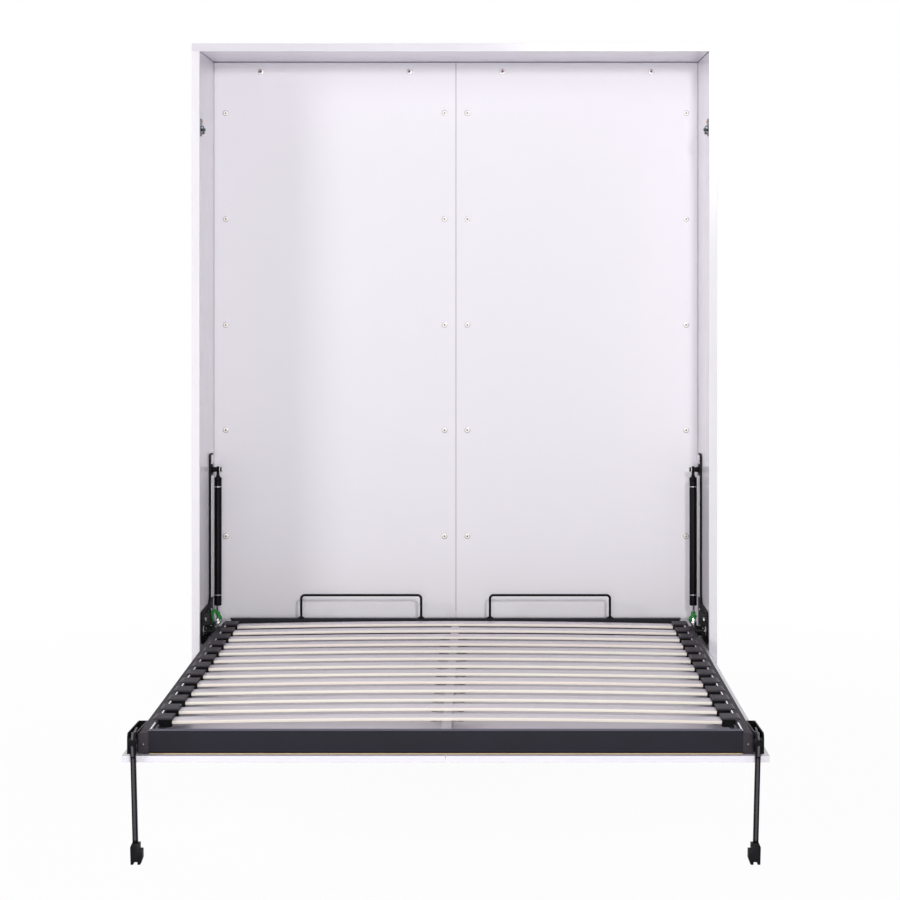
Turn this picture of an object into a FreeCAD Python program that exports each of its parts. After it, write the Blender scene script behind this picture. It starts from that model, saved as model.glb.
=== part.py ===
import FreeCAD, Part
import Sketcher
import os
import re

# Wall bed for a 1524 x 2032 mm mattress, modelled open, as the bed stands in use.
# X runs across the bed, Y runs back into the cabinet and Z runs up from the floor.
# The right side is modelled and the left side is its mirror image about X = 0.

Vector = FreeCAD.Vector
Rotation = FreeCAD.Rotation

# Driving sizes, millimetres and degrees. Each one can be set by itself.
sizes = {
    # cabinet boards
    "board": 25,
    "bay_depth": 425,
    "panel_thick": 15,
    "panel_seam": 1,
    "batten_thick": 25,
    "batten_wide": 80,
    "middle_batten_wide": 110,
    "cross_batten_high": 70,
    "side_gap": 40.5,
    "top_gap": 3,
    "wall_hole_radius": 3,
    "wall_hole_drop": 32,
    "wall_hole_outer": 650,
    "wall_hole_inner": 155,
    # bed frame
    "frame_width": 1530,
    "frame_length": 2050,
    "head_overhang": 262.5,
    "rail_low": 264,
    "rail_high": 52,
    "rail_wide": 26,
    "tube_wall": 2,
    "tube_round": 3,
    "end_plug": 6,
    "cross_high": 55,
    "cross_wide": 30,
    "cross_lift": 2,
    "middle_wide": 26,
    "middle_high": 38,
    # slats and their holders
    "slat_wide": 63,
    "slat_thick": 9,
    "slat_crown": 9,
    "slat_last": 71,
    "slat_first": 200,
    "slat_drop": 6,
    "slat_end_gap": 9,
    "slat_rest_gap": 0.2,
    "holder_long": 82,
    "holder_reach": 34,
    "holder_lap": 14,
    "holder_lip": 3.5,
    "holder_floor": 6,
    "holder_roof": 3,
    "holder_clear": 0.6,
    "holder_slope": 5,
    # door
    "door_thick": 16,
    "door_gap": 3,
    "door_seam": 2,
    "door_overhang": 25,
    "door_head_inset": 9,
    # mattress hoops
    "hoop_set": 228,
    "hoop_gap": 218,
    "hoop_high": 75,
    "hoop_wire": 4,
    "hoop_bend": 30,
    "hoop_base": 22,
    "hoop_base_thick": 3,
    # bed pivot
    "pivot_rise": 50.5,
    "pin_radius": 10,
    "pin_collar_radius": 17,
    "pin_collar": 3.2,
    "pin_clear": 0.3,
    "running_fit": 0.05,
    "plate_thick": 5,
    "plate_corner": 42.5,
    "plate_arm_rise": 64,
    "plate_top_rise": 52,
    "plate_strip": 90,
    "plate_round": 14,
    "plate_web_round": 40,
    "rib_high": 3,
    "rib_proud": 3,
    "rib_pitch": 9,
    "rib_inset": 25,
    "hub_plate_thick": 5,
    "hub_plate_inset": 2,
    "hub_plate_ahead": 90,
    "hub_ear_radius": 30,
    "hub_radius": 16,
    "hub_length": 32,
    # gas springs
    "upper_gap": 113,
    "upper_rise": 494.5,
    "lower_set": 241.5,
    "lower_drop": 23.5,
    "spring_inset": 20.5,
    "stud_radius": 5,
    "stud_collar_radius": 9,
    "stud_nut_radius": 8.5,
    "stud_nut": 6,
    "eye_radius": 12,
    "eye_wide": 17,
    "neck_radius": 7,
    "neck_length": 25,
    "tube_radius": 11,
    "rod_shown": 72,
    "tube_bore": 8,
    "gland_length": 20,
    "top_cap_length": 18,
    "gas_rod_radius": 5,
    "piston_gap": 100,
    "piston_radius": 7.5,
    "piston_long": 8,
    "strap_rise": 45,
    "strap_out": 5,
    "strap_bow": 14,
    "strap_wide": 9,
    "strap_thick": 3,
    "strap_tail": 16,
    "strap_loop": 8,
    "strap_loop_high": 12,
    # legs
    "leg_gap": 2,
    "leg_thick": 13,
    "leg_pivot_rise": 36,
    "leg_inset": 16.5,
    "leg_eye_radius": 11,
    "leg_bolt_radius": 5,
    "leg_bolt_head_radius": 8,
    "leg_bolt_head": 5,
    "leg_washer": 3.5,
    "foot_wide": 24,
    "tongue_high": 27,
    "tongue_wide": 6,
    "tongue_lean": 8,
    "foot_high": 53,
    "foot_socket": 34,
    "foot_slope": 10,
    "foot_tab_rise": 38,
    "foot_tab_low": 16,
    "foot_tab_out": 6.5,
    "foot_groove": 10,
    "foot_groove_high": 6.5,
    "bracket_out": 24,
    "bracket_thick": 3,
    "bracket_high": 52,
    "bracket_lift": 5,
    "bracket_bend": 4,
    "bracket_slope": 13,
    # catches
    "catch_gap": 4,
    "catch_wide": 28,
    "catch_high": 55,
    "catch_thick": 3,
    "catch_round": 4,
    "catch_pin_radius": 3,
    "catch_pin_head_radius": 5,
    "catch_pin_head": 2.5,
    "catch_pin_set": 20,
    "catch_pin_drop": 6.5,
    "hook_stand": 4.5,
    "hook_thick": 4,
    "hook_eye_radius": 6.5,
    "hook_reach": 15,
    "hook_finger": 6,
    "hook_rise": 20,
    "hook_open_angle": 80,
    "striker_radius": 4,
    "striker_length": 8,
    "striker_inset": 174,
    "striker_set": 18,
    "striker_rise": 11.5,
    "striker_margin": 10,
    # overrun of every cutting tool, and the distance within which points are one
    "overrun": 1,
}
tiny = 0.001
slat_count = 13

# Places worked out from the sizes.
places = {
    "half_frame": "frame_width / 2",
    "rail_in": "half_frame - rail_wide",
    "rail_top": "rail_low + rail_high",
    "inner_x": "half_frame + side_gap",
    "outer_x": "inner_x + board",
    "cabinet_depth": "bay_depth + panel_thick + batten_thick",
    # closed, the door's face is flush with the cabinet's front edges
    "door_low": "rail_low - door_thick",
    "pivot_z": "rail_low + pivot_rise",
    "setback": "pivot_z - door_low",
    "foot_reach": "frame_length - head_overhang - setback",
    "leg_reach": "foot_reach + door_overhang + leg_gap + foot_wide",
    "inner_top": "pivot_z + setback + leg_reach + top_gap",
    "cabinet_high": "inner_top + board",
    # the origin is under the middle of the open bed and its cabinet
    "front_y": "(leg_reach - cabinet_depth) / 2",
    "panel_y": "front_y + bay_depth",
    "batten_y": "panel_y + panel_thick",
    "pivot_y": "front_y + setback",
    "foot_y": "front_y - foot_reach",
    "head_y": "foot_y + frame_length",
    "door_y": "foot_y - door_overhang",
    "door_x": "inner_x - door_gap",
    "leg_y": "door_y - leg_gap - foot_wide / 2",
    "wall_hole_z": "inner_top - wall_hole_drop",
    "cross_low": "rail_low + cross_lift",
    "cross_top": "cross_low + cross_high",
    "slat_pitch": f"(frame_length - slat_first - slat_wide - slat_last) / {slat_count - 1}",
    "slat_low": "rail_top - slat_drop - slat_thick",
    "slat_half": "rail_in - slat_end_gap",
    "slat_curve": "(slat_half ^ 2 + slat_crown ^ 2) / (2 * slat_crown)",
    "holder_in": "rail_in - holder_reach",
    "hoop_outer": "rail_in - hoop_set",
    "hoop_inner": "hoop_gap / 2",
    "plate_x": "inner_x - plate_thick",
    "upper_y": "panel_y - upper_gap",
    "upper_z": "pivot_z + upper_rise",
    "lower_y": "pivot_y + lower_set",
    "lower_z": "pivot_z - lower_drop",
    "spring_x": "plate_x - spring_inset",
    "spring_length": "sqrt((upper_y - lower_y) ^ 2 + (upper_z - lower_z) ^ 2)",
    "spring_tilt": "atan((upper_y - lower_y) / (upper_z - lower_z))",
    "tube_length": "spring_length - neck_length - rod_shown",
    "gas_rod_length": "spring_length - neck_length - top_cap_length - piston_gap",
    "strip_front": "upper_y - plate_strip / 2",
    "strip_back": "upper_y + plate_strip / 2",
    "arm_top": "pivot_z + plate_arm_rise",
    "bracket_x": "half_frame + bracket_out",
    "bracket_low": "rail_low + bracket_lift",
    "bracket_y": "leg_y + leg_thick / 2 + leg_washer",
    "leg_x": "bracket_x - leg_inset",
    "leg_pivot_z": "rail_low + leg_pivot_rise",
    # a quarter turn brings each striker from its place on the open bed to its catch
    "striker_y": "foot_y + striker_inset",
    "catch_z": "pivot_z + pivot_y - striker_y - striker_rise",
    "catch_y": "front_y + door_thick + catch_gap",
    "catch_pin_y": "catch_y + catch_pin_set",
    "catch_pin_z": "catch_z - catch_pin_drop",
    "hook_x": "inner_x - catch_thick - hook_stand - hook_thick",
    "striker_z": "pivot_z + (catch_y + striker_set - pivot_y)",
}

doc = FreeCAD.newDocument("WallBed")
sheet = doc.addObject("Spreadsheet::Sheet", "Sizes")
for row, (name, value) in enumerate(sizes.items(), 1):
    sheet.set(f"A{row}", name)
    sheet.set(f"B{row}", str(value))
    sheet.setAlias(f"B{row}", name)
doc.recompute()


def linked(formula):
    def link(found):
        name = found.group()
        if name in sizes:
            return "Sizes." + name
        if name in places:
            return "Places." + name
        return name
    return re.sub(r"[a-z][a-z_0-9]*", link, formula)


layout = doc.addObject("App::VarSet", "Places")
for name in places:
    layout.addProperty("App::PropertyFloat", name)
for name, formula in places.items():
    layout.setExpression(name, linked(formula))
doc.recompute()

nodes = []


def bind(item, formulas):
    for name, formula in formulas.items():
        item.setExpression(name, linked(formula))
    return item


def place(item, x="0", y="0", z="0"):
    return bind(item, {"Placement.Base.x": x, "Placement.Base.y": y, "Placement.Base.z": z})


def keep(item):
    nodes.append(item)
    return item


def box(label, corner, extent):
    item = doc.addObject("Part::Box", label)
    bind(item, dict(zip(("Length", "Width", "Height"), extent)))
    return place(item, *corner)


along = {
    "x": Rotation(Vector(0, 1, 0), 90),
    "y": Rotation(Vector(1, 0, 0), -90),
    "z": Rotation(),
}


def round_bar(label, axis, start, radius, length):
    item = doc.addObject("Part::Cylinder", label)
    item.Placement = FreeCAD.Placement(Vector(), along[axis])
    bind(item, {"Radius": radius, "Height": length})
    return place(item, *start)


def fused(label, *pieces):
    item = doc.addObject("Part::MultiFuse", label)
    item.Shapes = pieces
    item.Refine = True
    return item


def cut(label, base, *tools):
    item = doc.addObject("Part::Cut", label)
    item.Base = base
    item.Tool = tools[0]
    if len(tools) > 1:
        item.Tool = doc.addObject("Part::Compound", label + "_tools")
        item.Tool.Links = tools
    return item


def mirrored(source):
    item = doc.addObject("Part::Mirroring", source.Label.replace("right", "left"))
    item.Source = source
    item.Normal = Vector(1, 0, 0)
    return keep(item)


def both_sides(source):
    keep(source)
    return mirrored(source)


def new_sketch(body, plane, name):
    sketch = body.newObject("Sketcher::SketchObject", name)
    for feature in body.Origin.OriginFeatures:
        if feature.Role == plane:
            sketch.AttachmentSupport = (feature, [""])
    sketch.MapMode = "FlatFace"
    return sketch


def hold_point(sketch, line, point, name, spot):
    start = sketch.getPoint(line, point)
    for axis, formula in zip("XY", spot):
        now = getattr(start, axis.lower())
        rule = sketch.addConstraint(Sketcher.Constraint("Distance" + axis, -1, 1, line, point, now))
        sketch.renameConstraint(rule, name + axis)
        sketch.setExpression("Constraints." + name + axis, linked(formula))


def draw_outline(sketch, name, corners):
    first = sketch.GeometryCount
    count = len(corners)
    spread = [Rotation(Vector(0, 0, 1), 360 * turn / count).multVec(Vector(1, 0, 0)) for turn in range(count)]
    for turn in range(count):
        sketch.addGeometry(Part.LineSegment(spread[turn], spread[(turn + 1) % count]))
    for turn in range(count):
        following = first + (turn + 1) % count
        sketch.addConstraint(Sketcher.Constraint("Coincident", first + turn, 2, following, 1))
    for turn, corner in enumerate(corners):
        hold_point(sketch, first + turn, 1, f"{name}{turn}", corner)


def draw_hole(sketch, name, middle, radius):
    hole = sketch.addGeometry(Part.Circle(Vector(), Vector(0, 0, 1), 1))
    hold_point(sketch, hole, 3, name, middle)
    rule = sketch.addConstraint(Sketcher.Constraint("Radius", hole, 1))
    sketch.renameConstraint(rule, name + "R")
    sketch.setExpression("Constraints." + name + "R", linked(radius))


def sharp_edges(feature, sketch, turns):
    # the edges that the pad draws out of the sketch's numbered corners
    names = []
    for turn in turns:
        corner = sketch.Placement.multVec(sketch.Geometry[turn].StartPoint)
        normal = sketch.Placement.Rotation.multVec(Vector(0, 0, 1))
        for number, edge in enumerate(feature.Shape.Edges, 1):
            ends = [vertex.Point - corner for vertex in edge.Vertexes]
            if len(ends) == 2 and all(end.cross(normal).Length < tiny for end in ends):
                names.append(f"Edge{number}")
    return names


def padded(label, plane, outlines, depth, spot=("0", "0", "0"), holes=(), rounds=()):
    # outlines: lists of corners, the first outside and any others cut through it
    body = doc.addObject("PartDesign::Body", label)
    sketch = new_sketch(body, plane, label + "_sketch")
    for number, corners in enumerate(outlines):
        draw_outline(sketch, f"c{number}_", corners)
    for number, (across, up, radius) in enumerate(holes):
        draw_hole(sketch, f"h{number}_", (across, up), radius)
    pad = body.newObject("PartDesign::Pad", label + "_pad")
    pad.Profile = (sketch, [""])
    pad.Reversed = plane == "XZ_Plane"
    bind(pad, {"Length": depth})
    doc.recompute()
    last = pad
    for number, (radius, turns) in enumerate(rounds):
        fillet = body.newObject("PartDesign::Fillet", f"{label}_round{number}")
        fillet.Base = (last, sharp_edges(last, sketch, turns))
        bind(fillet, {"Radius": radius})
        doc.recompute()
        last = fillet
    return place(body, *spot)


def turned(label, corners):
    # a half outline of (radius, height) corners turned about Z
    body = doc.addObject("PartDesign::Body", label)
    sketch = new_sketch(body, "XZ_Plane", label + "_sketch")
    draw_outline(sketch, "c", corners)
    turn = body.newObject("PartDesign::Revolution", label + "_turn")
    turn.Profile = (sketch, [""])
    turn.ReferenceAxis = (sketch, ["V_Axis"])
    turn.Angle = 360
    return body


def rectangle(low_x, low_y, high_x, high_y):
    return [(low_x, low_y), (high_x, low_y), (high_x, high_y), (low_x, high_y)]


def tube(label, plane, low, high, length, spot):
    # a rectangular steel tube, drawn out along the plane's normal
    inside = rectangle(
        f"{low[0]} + tube_wall", f"{low[1]} + tube_wall",
        f"{high[0]} - tube_wall", f"{high[1]} - tube_wall",
    )
    outlines = [rectangle(*low, *high), inside]
    return padded(label, plane, outlines, length, spot, rounds=[("tube_round", range(4))])


# --- cabinet: two sides under a top board, a two-part back screwed to battens ---

side = box("side_panel_right", ("inner_x", "front_y", "0"), ("board", "cabinet_depth", "inner_top"))
both_sides(side)
keep(box("top_board", ("-outer_x", "front_y", "inner_top"), ("2 * outer_x", "cabinet_depth", "board")))

upright = "inner_top - 2 * cross_batten_high"
batten = box(
    "side_batten_right", ("inner_x - batten_wide", "batten_y", "cross_batten_high"),
    ("batten_wide", "batten_thick", upright),
)
both_sides(batten)
keep(box(
    "middle_batten", ("-middle_batten_wide / 2", "batten_y", "cross_batten_high"),
    ("middle_batten_wide", "batten_thick", upright),
))
keep(box("bottom_batten", ("-inner_x", "batten_y", "0"), ("2 * inner_x", "batten_thick", "cross_batten_high")))


def hexagon(label, plane, across, up, radius, depth, spot):
    # a nut or bolt head: six corners round (across, up)
    half = f"{radius} / 2"
    rise = f"{radius} * sqrt(3) / 2"
    corners = [
        (f"{across} + {radius}", up), (f"{across} + {half}", f"{up} + {rise}"), (f"{across} - {half}", f"{up} + {rise}"),
        (f"{across} - {radius}", up), (f"{across} - {half}", f"{up} - {rise}"), (f"{across} + {half}", f"{up} - {rise}"),
    ]
    return padded(label, plane, [corners], depth, spot)


def wall_holes(label, start, length, middles):
    # clearance holes for the screws that hold the cabinet to the wall
    holes = []
    for number, middle in enumerate(middles):
        spot = (middle, f"{start} - overrun", "wall_hole_z")
        hole = round_bar(f"{label}{number}", "y", spot, "wall_hole_radius", f"{length} + 2 * overrun")
        holes.append(hole)
    return holes


rail_box = box(
    "top_batten_blank", ("-inner_x", "batten_y", "inner_top - cross_batten_high"),
    ("2 * inner_x", "batten_thick", "cross_batten_high"),
)
hole_places = ["-wall_hole_outer", "-wall_hole_inner", "wall_hole_inner", "wall_hole_outer"]
keep(cut("top_batten", rail_box, *wall_holes("batten_hole", "batten_y", "batten_thick", hole_places)))

panel_box = box(
    "back_panel_blank", ("panel_seam / 2", "panel_y", "0"),
    ("inner_x - panel_seam / 2", "panel_thick", "inner_top"),
)
panel_holes = wall_holes("panel_hole", "panel_y", "panel_thick", hole_places[2:])
both_sides(cut("back_panel_right", panel_box, *panel_holes))

# --- steel plate on each side panel: carries the bed pivot and the gas spring ---

plate_outline = [
    ("pivot_y - plate_corner", "pivot_z - plate_corner"),
    ("strip_back", "pivot_z - plate_corner"),
    ("strip_back", "upper_z + plate_top_rise"),
    ("strip_front", "upper_z + plate_top_rise"),
    ("strip_front", "arm_top"),
    ("pivot_y - plate_corner", "arm_top"),
]
plate_flat = padded(
    "plate_flat", "YZ_Plane", [plate_outline], "plate_thick", ("plate_x", "0", "0"),
    rounds=[("plate_corner", [0]), ("plate_round", [1, 2, 3, 5]), ("plate_web_round", [4])],
)
ribs = []
for number in range(2):
    rib_z = f"arm_top - {number + 1} * rib_pitch"
    rib_extent = ("rib_proud", "strip_front - pivot_y - rib_inset + plate_corner", "rib_high")
    ribs.append(box(f"plate_rib{number}", ("plate_x - rib_proud", "pivot_y - plate_corner + rib_inset", rib_z),
                    rib_extent))
both_sides(fused("mechanism_plate_right", plate_flat, *ribs))

pin_shaft = round_bar(
    "pin_shaft", "x", ("half_frame + pin_clear", "pivot_y", "pivot_z"), "pin_radius",
    "plate_x - half_frame - pin_clear",
)
pin_collar = hexagon(
    "pin_collar_hex", "YZ_Plane", "pivot_y", "pivot_z", "pin_collar_radius", "pin_collar",
    ("plate_x - pin_collar", "0", "0"),
)
both_sides(fused("pivot_pin_right", pin_shaft, pin_collar))

stud_shaft = round_bar(
    "stud_shaft", "x", ("spring_x - eye_wide / 2 - stud_nut", "upper_y", "upper_z"), "stud_radius",
    "plate_x - spring_x + eye_wide / 2 + stud_nut",
)
stud_collar = hexagon(
    "stud_collar_hex", "YZ_Plane", "upper_y", "upper_z", "stud_collar_radius",
    "plate_x - spring_x - eye_wide / 2 - pin_clear", ("spring_x + eye_wide / 2 + pin_clear", "0", "0"),
)
stud_nut = hexagon(
    "stud_nut_hex", "YZ_Plane", "upper_y", "upper_z", "stud_nut_radius", "stud_nut",
    ("spring_x - eye_wide / 2 - stud_nut - pin_clear", "0", "0"),
)
both_sides(fused("spring_stud_right", stud_shaft, stud_collar, stud_nut))

# --- gas spring: a cylinder that hangs on the stud and a rod that runs in its bore ---


def eye(label, bar, bore):
    # a rod end: an eye across X, seated on the bar that comes up to it
    ring = round_bar(label + "_ring", "x", ("-eye_wide / 2", "0", "0"), "eye_radius", "eye_wide")
    solid = fused(label + "_solid", bar, ring)
    hole = round_bar(
        label + "_hole", "x", ("-eye_wide / 2 - overrun", "0", "0"), bore, "eye_wide + 2 * overrun",
    )
    return cut(label, solid, hole)


def lean(item, x, y, z):
    item.Placement = FreeCAD.Placement(Vector(), Rotation(Vector(1, 0, 0), -1))
    item.setExpression("Placement.Rotation.Angle", linked("-spring_tilt"))
    return place(item, x, y, z)


tube_end = "-(neck_length + tube_length)"
cylinder_outline = [
    ("0", "-eye_radius / 2"), ("neck_radius", "-eye_radius / 2"), ("neck_radius", "-neck_length"),
    ("tube_radius", "-neck_length"), ("tube_radius", tube_end), ("gas_rod_radius + running_fit", tube_end),
    ("gas_rod_radius + running_fit", tube_end + " + gland_length"), ("tube_bore", tube_end + " + gland_length"),
    ("tube_bore", "-neck_length - top_cap_length"), ("0", "-neck_length - top_cap_length"),
]
cylinder = eye("gas_cylinder_right", turned("cylinder_tube", cylinder_outline), "stud_radius + running_fit")
both_sides(lean(cylinder, "spring_x", "upper_y", "upper_z"))

rod_outline = [
    ("0", "0"), ("gas_rod_radius", "0"), ("gas_rod_radius", "gas_rod_length - piston_long"),
    ("piston_radius", "gas_rod_length - piston_long"), ("piston_radius", "gas_rod_length"), ("0", "gas_rod_length"),
]
rod_eye = eye("rod_eye", turned("rod_bar", rod_outline), "stud_radius")
# the lower pin turns with the rod and ends just off the plate on the bed
lower_pin = round_bar(
    "lower_pin", "x", ("half_frame + hub_plate_thick + pin_clear - spring_x", "0", "0"), "stud_radius",
    "spring_x - half_frame - hub_plate_thick - pin_clear + eye_wide / 2 + stud_nut",
)
lower_nut = hexagon("lower_nut", "YZ_Plane", "0", "0", "stud_nut_radius", "stud_nut", ("eye_wide / 2", "0", "0"))
both_sides(lean(fused("gas_rod_right", rod_eye, lower_pin, lower_nut), "spring_x", "lower_y", "lower_z"))

# --- pull strap: looped round the rod above its eye, its band bowed in front ---

strap_loop = round_bar(
    "strap_loop_disc", "z", ("0", "0", "strap_rise - strap_loop_high / 2"), "strap_loop", "strap_loop_high",
)
strap_front = "-strap_loop - strap_thick / 2"
strap_bow = round_bar("strap_bow_disc", "y", ("strap_out", strap_front, "strap_rise"), "strap_bow", "strap_thick")
strap_tails = box(
    "strap_tails", ("strap_out - strap_bow", strap_front, "strap_rise - strap_tail"),
    ("2 * strap_bow", "strap_thick", "strap_tail"),
)
strap_bore = round_bar(
    "strap_bore", "z", ("0", "0", "strap_rise - strap_loop_high / 2 - overrun"), "gas_rod_radius + running_fit",
    "strap_loop_high + 2 * overrun",
)
strap_hole = round_bar(
    "strap_hole", "y", ("strap_out", strap_front + " - overrun", "strap_rise"), "strap_bow - strap_wide",
    "strap_thick + 2 * overrun",
)
strap_gap = box(
    "strap_gap", ("strap_out - strap_bow + strap_wide", strap_front + " - overrun", "strap_rise - strap_tail - overrun"),
    ("2 * (strap_bow - strap_wide)", "strap_thick + 2 * overrun", "strap_tail + overrun"),
)
strap_band = cut("strap_band", fused("strap_blank", strap_bow, strap_tails), strap_hole, strap_gap)
strap = cut("spring_strap_right", fused("strap_solid", strap_loop, strap_band), strap_bore)
both_sides(lean(strap, "spring_x", "lower_y", "lower_z"))

# --- catch on each side panel near the top, with a hook that swings up behind the striker ---

catch_outline = rectangle(
    "catch_y", "catch_z - catch_high / 2", "catch_y + catch_wide", "catch_z + catch_high / 2",
)
catch_flat = padded(
    "catch_flat", "YZ_Plane", [catch_outline], "catch_thick", ("inner_x - catch_thick", "0", "0"),
    rounds=[("catch_round", range(4))],
)
catch_post = hexagon(
    "catch_post", "YZ_Plane", "catch_pin_y", "catch_pin_z", "catch_pin_head_radius", "hook_stand - pin_clear",
    ("hook_x + hook_thick + pin_clear", "0", "0"),
)
catch_pin = round_bar(
    "catch_pin", "x", ("hook_x - pin_clear", "catch_pin_y", "catch_pin_z"), "catch_pin_radius",
    "hook_thick + 2 * pin_clear",
)
catch_head = hexagon(
    "catch_head", "YZ_Plane", "catch_pin_y", "catch_pin_z", "catch_pin_head_radius", "catch_pin_head",
    ("hook_x - pin_clear - catch_pin_head", "0", "0"),
)
both_sides(fused("catch_plate_right", catch_flat, catch_post, catch_pin, catch_head))

hook_outline = [
    ("0", "-hook_finger / 2"), ("-hook_reach", "-hook_finger / 2"), ("-hook_reach", "hook_rise"),
    ("hook_finger - hook_reach", "hook_rise"), ("hook_finger - hook_reach", "hook_finger / 2"),
    ("0", "hook_finger / 2"),
]
hook_flat = padded(
    "hook_flat", "YZ_Plane", [hook_outline], "hook_thick",
    rounds=[("hook_finger / 2.5", [1, 2, 3]), ("hook_finger / 3", [4])],
)
hook_ring = round_bar("hook_ring", "x", ("0", "0", "0"), "hook_eye_radius", "hook_thick")
hook_hole = round_bar(
    "hook_hole", "x", ("-overrun", "0", "0"), "catch_pin_radius + running_fit", "hook_thick + 2 * overrun",
)
hook = cut("catch_hook_right", fused("hook_solid", hook_flat, hook_ring), hook_hole)
hook.Placement = FreeCAD.Placement(Vector(), Rotation(Vector(1, 0, 0), 1))
hook.setExpression("Placement.Rotation.Angle", linked("hook_open_angle"))
place(hook, "hook_x", "catch_pin_y", "catch_pin_z")
both_sides(hook)

# --- bed frame: steel tubes, the side rails plugged at the foot end ---

rail = tube(
    "rail_tube", "XZ_Plane", ("rail_in", "rail_low"), ("half_frame", "rail_top"), "frame_length - end_plug",
    ("0", "foot_y + end_plug", "0"),
)
rail_plug = padded(
    "rail_plug", "XZ_Plane", [rectangle("rail_in", "rail_low", "half_frame", "rail_top")], "end_plug",
    ("0", "foot_y", "0"), rounds=[("tube_round", range(4))],
)
both_sides(fused("side_rail_right", rail, rail_plug))


def cross_rail(label, start):
    # drawn across the bed between the side rails
    low = (start, "cross_low")
    high = (start + " + cross_wide", "cross_top")
    return keep(tube(label, "YZ_Plane", low, high, "2 * rail_in", ("-rail_in", "0", "0")))


cross_rail("foot_rail", "foot_y")
cross_rail("head_rail", "head_y - cross_wide")
middle_top = "(slat_low + slat_crown - slat_rest_gap)"
keep(tube(
    "middle_beam", "XZ_Plane", ("-middle_wide / 2", middle_top + " - middle_high"),
    ("middle_wide / 2", middle_top), "frame_length - 2 * cross_wide", ("0", "foot_y + cross_wide", "0"),
))

# --- slats: bent upwards along the bed's width, their ends in plastic holders ---


def slat_place(step):
    return f"foot_y + slat_first + {step} * slat_pitch"


def bowed_slat(label, step):
    body = doc.addObject("PartDesign::Body", label)
    sketch = new_sketch(body, "XZ_Plane", label + "_sketch")
    half = layout.slat_half
    low = layout.slat_low
    crown = sizes["slat_crown"]
    top = low + sizes["slat_thick"]
    for level in (low, top):
        sketch.addGeometry(Part.Arc(Vector(-half, level), Vector(0, level + crown), Vector(half, level)))
    sketch.addGeometry(Part.LineSegment(Vector(half, low), Vector(half, top)))
    sketch.addGeometry(Part.LineSegment(Vector(-half, top), Vector(-half, low)))
    for line, point, other, end in ((0, 1, 2, 1), (1, 1, 2, 2), (1, 2, 3, 1), (0, 2, 3, 2)):
        sketch.addConstraint(Sketcher.Constraint("Coincident", line, point, other, end))
    hold_point(sketch, 2, 1, "low_right", ("slat_half", "slat_low"))
    hold_point(sketch, 2, 2, "top_right", ("slat_half", "slat_low + slat_thick"))
    hold_point(sketch, 0, 3, "low_middle", ("0", "slat_low + slat_crown - slat_curve"))
    hold_point(sketch, 1, 3, "top_middle", ("0", "slat_low + slat_thick + slat_crown - slat_curve"))
    for point, name in ((1, "top_left"), (2, "low_left")):
        rule = sketch.addConstraint(Sketcher.Constraint("DistanceX", -1, 1, 3, point, -half))
        sketch.renameConstraint(rule, name)
        sketch.setExpression("Constraints." + name, linked("-slat_half"))
    pad = body.newObject("PartDesign::Pad", label + "_pad")
    pad.Profile = (sketch, [""])
    pad.Reversed = True
    bind(pad, {"Length": "slat_wide"})
    return keep(place(body, "0", slat_place(step), "0"))


for step in range(slat_count):
    bowed_slat(f"slat_{step + 1:02d}", step)


holder_top = "(rail_top + holder_lip)"
roof = "(slat_low + slat_thick + holder_clear + holder_roof)"
holder_outline = [
    ("holder_in", "slat_low - holder_floor + holder_slope"), ("holder_in + holder_slope", "slat_low - holder_floor"),
    ("rail_in", "slat_low - holder_floor"), ("rail_in", "rail_top"),
    ("rail_in + holder_lap", "rail_top"), ("rail_in + holder_lap", holder_top + " - holder_lip / 2"),
    ("rail_in + holder_lap - holder_lip", holder_top), ("rail_in - holder_lip * 2", holder_top),
    ("holder_in", roof),
]
holder_body = padded("slat_holders_right", "XZ_Plane", [holder_outline], "holder_long")
pocket_sketch = new_sketch(holder_body, "XZ_Plane", "holder_pocket_sketch")
draw_outline(pocket_sketch, "p", rectangle(
    "holder_in - overrun", "slat_low", "slat_half", "slat_low + slat_thick + holder_clear",
))
bind(pocket_sketch, {"AttachmentOffset.Base.z": "-(holder_long - slat_wide) / 2"})
pocket = holder_body.newObject("PartDesign::Pocket", "holder_pocket")
pocket.Profile = (pocket_sketch, [""])
pocket.Reversed = False
bind(pocket, {"Length": "slat_wide"})
doc.recompute()
row_of_holders = holder_body.newObject("PartDesign::LinearPattern", "holder_row")
row_of_holders.TransformMode = "Whole shape"
for feature in holder_body.Origin.OriginFeatures:
    if feature.Role == "Y_Axis":
        row_of_holders.Direction = (feature, [""])
row_of_holders.Occurrences = slat_count
bind(row_of_holders, {"Length": f"{slat_count - 1} * slat_pitch"})
holder_body.Tip = row_of_holders
place(holder_body, "0", slat_place(0) + " - (holder_long - slat_wide) / 2", "0")
both_sides(holder_body)

# --- door: two boards under the frame that close the cabinet when the bed is up ---

door = box(
    "door_panel_right", ("door_seam / 2", "door_y", "door_low"),
    ("door_x - door_seam / 2", "head_y - door_head_inset - door_y", "door_thick"),
)
both_sides(door)

# --- wire hoops on the head rail that stop the mattress sliding when the bed is up ---

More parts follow.
